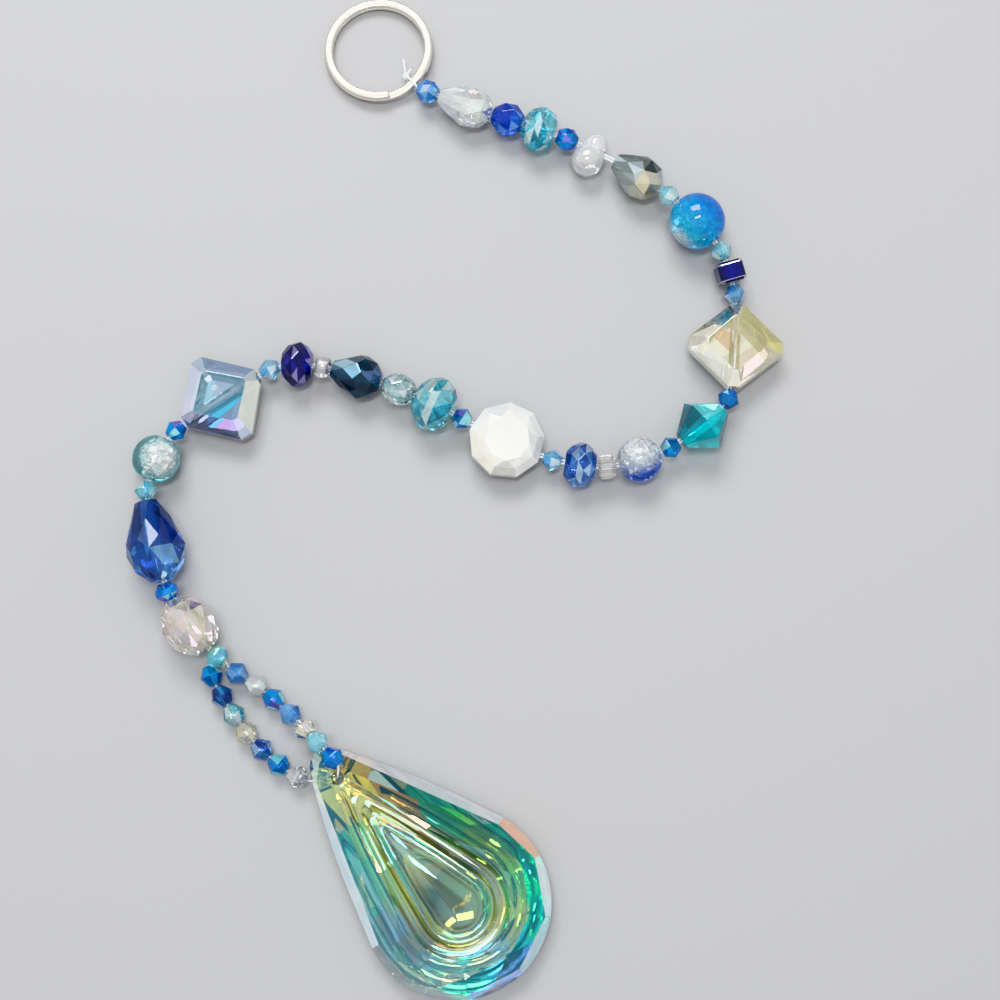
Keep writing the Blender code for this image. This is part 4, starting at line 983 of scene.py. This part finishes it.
# Lights that look at the origin: name, place and size in metres, power in watts
LIGHTS = (
    ("key", (-0.10, 0.50, 0.62), (0.45, 0.30), 4.8),
    ("overhead_left", (-0.09, -0.02, 0.75), (0.07, 0.16), 1.6),
    ("overhead_right", (0.06, 0.05, 0.75), (0.05, 0.12), 1.2),
)
# The surroundings' grey by height, as the sine of the elevation, and the tone they have sideways
SKY_TONE = (0.97, 0.98, 1.0)
SKY_LEVELS = ((0.22, 0.85), (0.38, 0.30), (0.52, 0.35), (0.66, 0.90), (0.96, 0.97))
SKY_LOW = (0.92, 0.92, 0.94, 1)
SKY_TOP = (0.45, 0.46, 0.47, 1)
SKY_SIDES = (0.85, 0.86, 0.86, 1)
SKY_STRENGTH = 1.1


def make_floor():
    bm = bmesh.new()
    bmesh.ops.create_grid(bm, x_segments=1, y_segments=1, size=FLOOR_HALF)
    floor = add_object("floor", mesh_from(bm, "floor"))
    floor.location.z = -FLOOR_BELOW * MM
    material, _, shader = new_material("floor_plain")
    shader.inputs["Base Color"].default_value = (0.34, 0.34, 0.345, 1)
    shader.inputs["Roughness"].default_value = 0.75
    floor.data.materials.append(material)


def make_light(name, at, size, power):
    light = bpy.data.lights.new(name, "AREA")
    light.shape = "RECTANGLE"
    light.size, light.size_y = size
    light.energy = power
    obj = add_object(name, light)
    obj.location = at
    obj.rotation_euler = (-Vector(at)).to_track_quat("-Z", "Y").to_euler()


def make_sky():
    """Plain surroundings, darker in a band half way up in front and behind, and even sideways."""
    world = bpy.data.worlds.new("studio")
    bpy.context.scene.world = world
    world.use_nodes = True
    tree = world.node_tree
    place = tree.nodes.new("ShaderNodeTexCoord")
    parts = tree.nodes.new("ShaderNodeSeparateXYZ")
    ramp = tree.nodes.new("ShaderNodeValToRGB")
    for at, level in SKY_LEVELS:
        stop = ramp.color_ramp.elements.new(at)
        stop.color = (*(level * tone for tone in SKY_TONE), 1)
    ramp.color_ramp.elements[0].color = SKY_LOW
    ramp.color_ramp.elements[-1].color = SKY_TOP
    sides = tree.nodes.new("ShaderNodeMath")
    sides.operation = "MULTIPLY"
    lit = tree.nodes.new("ShaderNodeMix")
    lit.data_type = "RGBA"
    lit.inputs["B"].default_value = SKY_SIDES
    tree.links.new(place.outputs["Generated"], parts.inputs["Vector"])
    tree.links.new(parts.outputs["Z"], ramp.inputs["Fac"])
    tree.links.new(parts.outputs["X"], sides.inputs[0])
    tree.links.new(parts.outputs["X"], sides.inputs[1])
    tree.links.new(sides.outputs["Value"], lit.inputs["Factor"])
    tree.links.new(ramp.outputs["Color"], lit.inputs["A"])
    tree.links.new(lit.outputs["Result"], tree.nodes["Background"].inputs["Color"])
    tree.nodes["Background"].inputs["Strength"].default_value = SKY_STRENGTH
    bpy.context.scene.view_settings.view_transform = "Khronos PBR Neutral"


def make_camera():
    data = bpy.data.cameras.new("camera")
    data.lens = CAMERA_LENS
    data.sensor_width = SENSOR
    data.clip_start = CAMERA_CLIP * MM
    camera = add_object("camera", data)
    camera.location = CAMERA_AT * MM
    camera.rotation_euler = (CAMERA_TARGET - CAMERA_AT).to_track_quat("-Z", "Y").to_euler()
    bpy.context.scene.camera = camera


# Slots with an iridescent coat: its thickness in nm, and how much of the glass lets light through
COATED = {
    "clear_aurora": (200.0, 0.92),
    "clear_rose": (180.0, 0.8),
    "cobalt_aurora": (160.0, 0.8),
    "drop_crystal": (160.0, 1.0),
}


def make_materials():
    materials = {slot: glass(slot, transmission=0.8) for slot in TINTS_AND_PAINTED_LIGHT if slot not in COATED}
    for slot, (film, transmission) in COATED.items():
        materials[slot] = glass(slot + "_coated", ior=1.6, film=film, transmission=transmission)
    materials["clear"] = glass("clear", transmission=0.95)
    materials["aqua"] = glass("aqua", transmission=0.9)
    materials["sapphire"] = glass("sapphire", transmission=0.95)
    materials["bead_29_clear_square"] = glass("clear_blue_coated", ior=1.6, film=160.0)
    materials["bead_06_clear_nugget"] = glass("clear_milky", transmission=0.75)
    materials["azure_crackle"] = glass("azure_crackle", roughness=0.01, transmission=0.75)
    for slot in ("blue_white_crackle", "teal_white_crackle"):
        materials[slot] = glass(slot, roughness=0.01, transmission=0.88)
    materials["pearl"] = pearl_glass("pearl")
    materials["ring_metal"] = metal("ring_metal", (0.86, 0.82, 0.74))
    materials["thread"] = nylon("thread")
    return materials


def make_pieces(materials):
    cracks = glass("cracks", roughness=0.15, transmission=0.1)
    for part in frame["record"]["subparts"]:
        node, slot = part["node"], part["material_slot"]
        if node in BALLS:
            colours, lean, crack_sets = BALLS[node]
            centre, radius = ball_glass(node, slot, materials, colours, lean)
            ball_cracks(node, slot, cracks, crack_sets, centre, radius)
        elif node in ROUND_NODES:
            piece = rounded_copy(node, levels=2)
            tint_facets(piece.data, facet_tints_and_painted_light(slot, node))
            dress(piece, materials.get(node, materials[slot]), slot, node)
        elif node in ("split_ring", "thread"):
            dress(rounded_copy(node, levels=1), materials[slot], slot, node)
        elif node == "crystal_drop":
            make_drop(materials)
        else:
            cut_bead(node, slot, materials)


make_camera()
make_floor()
for light in LIGHTS:
    make_light(*light)
make_sky()
make_pieces(make_materials())
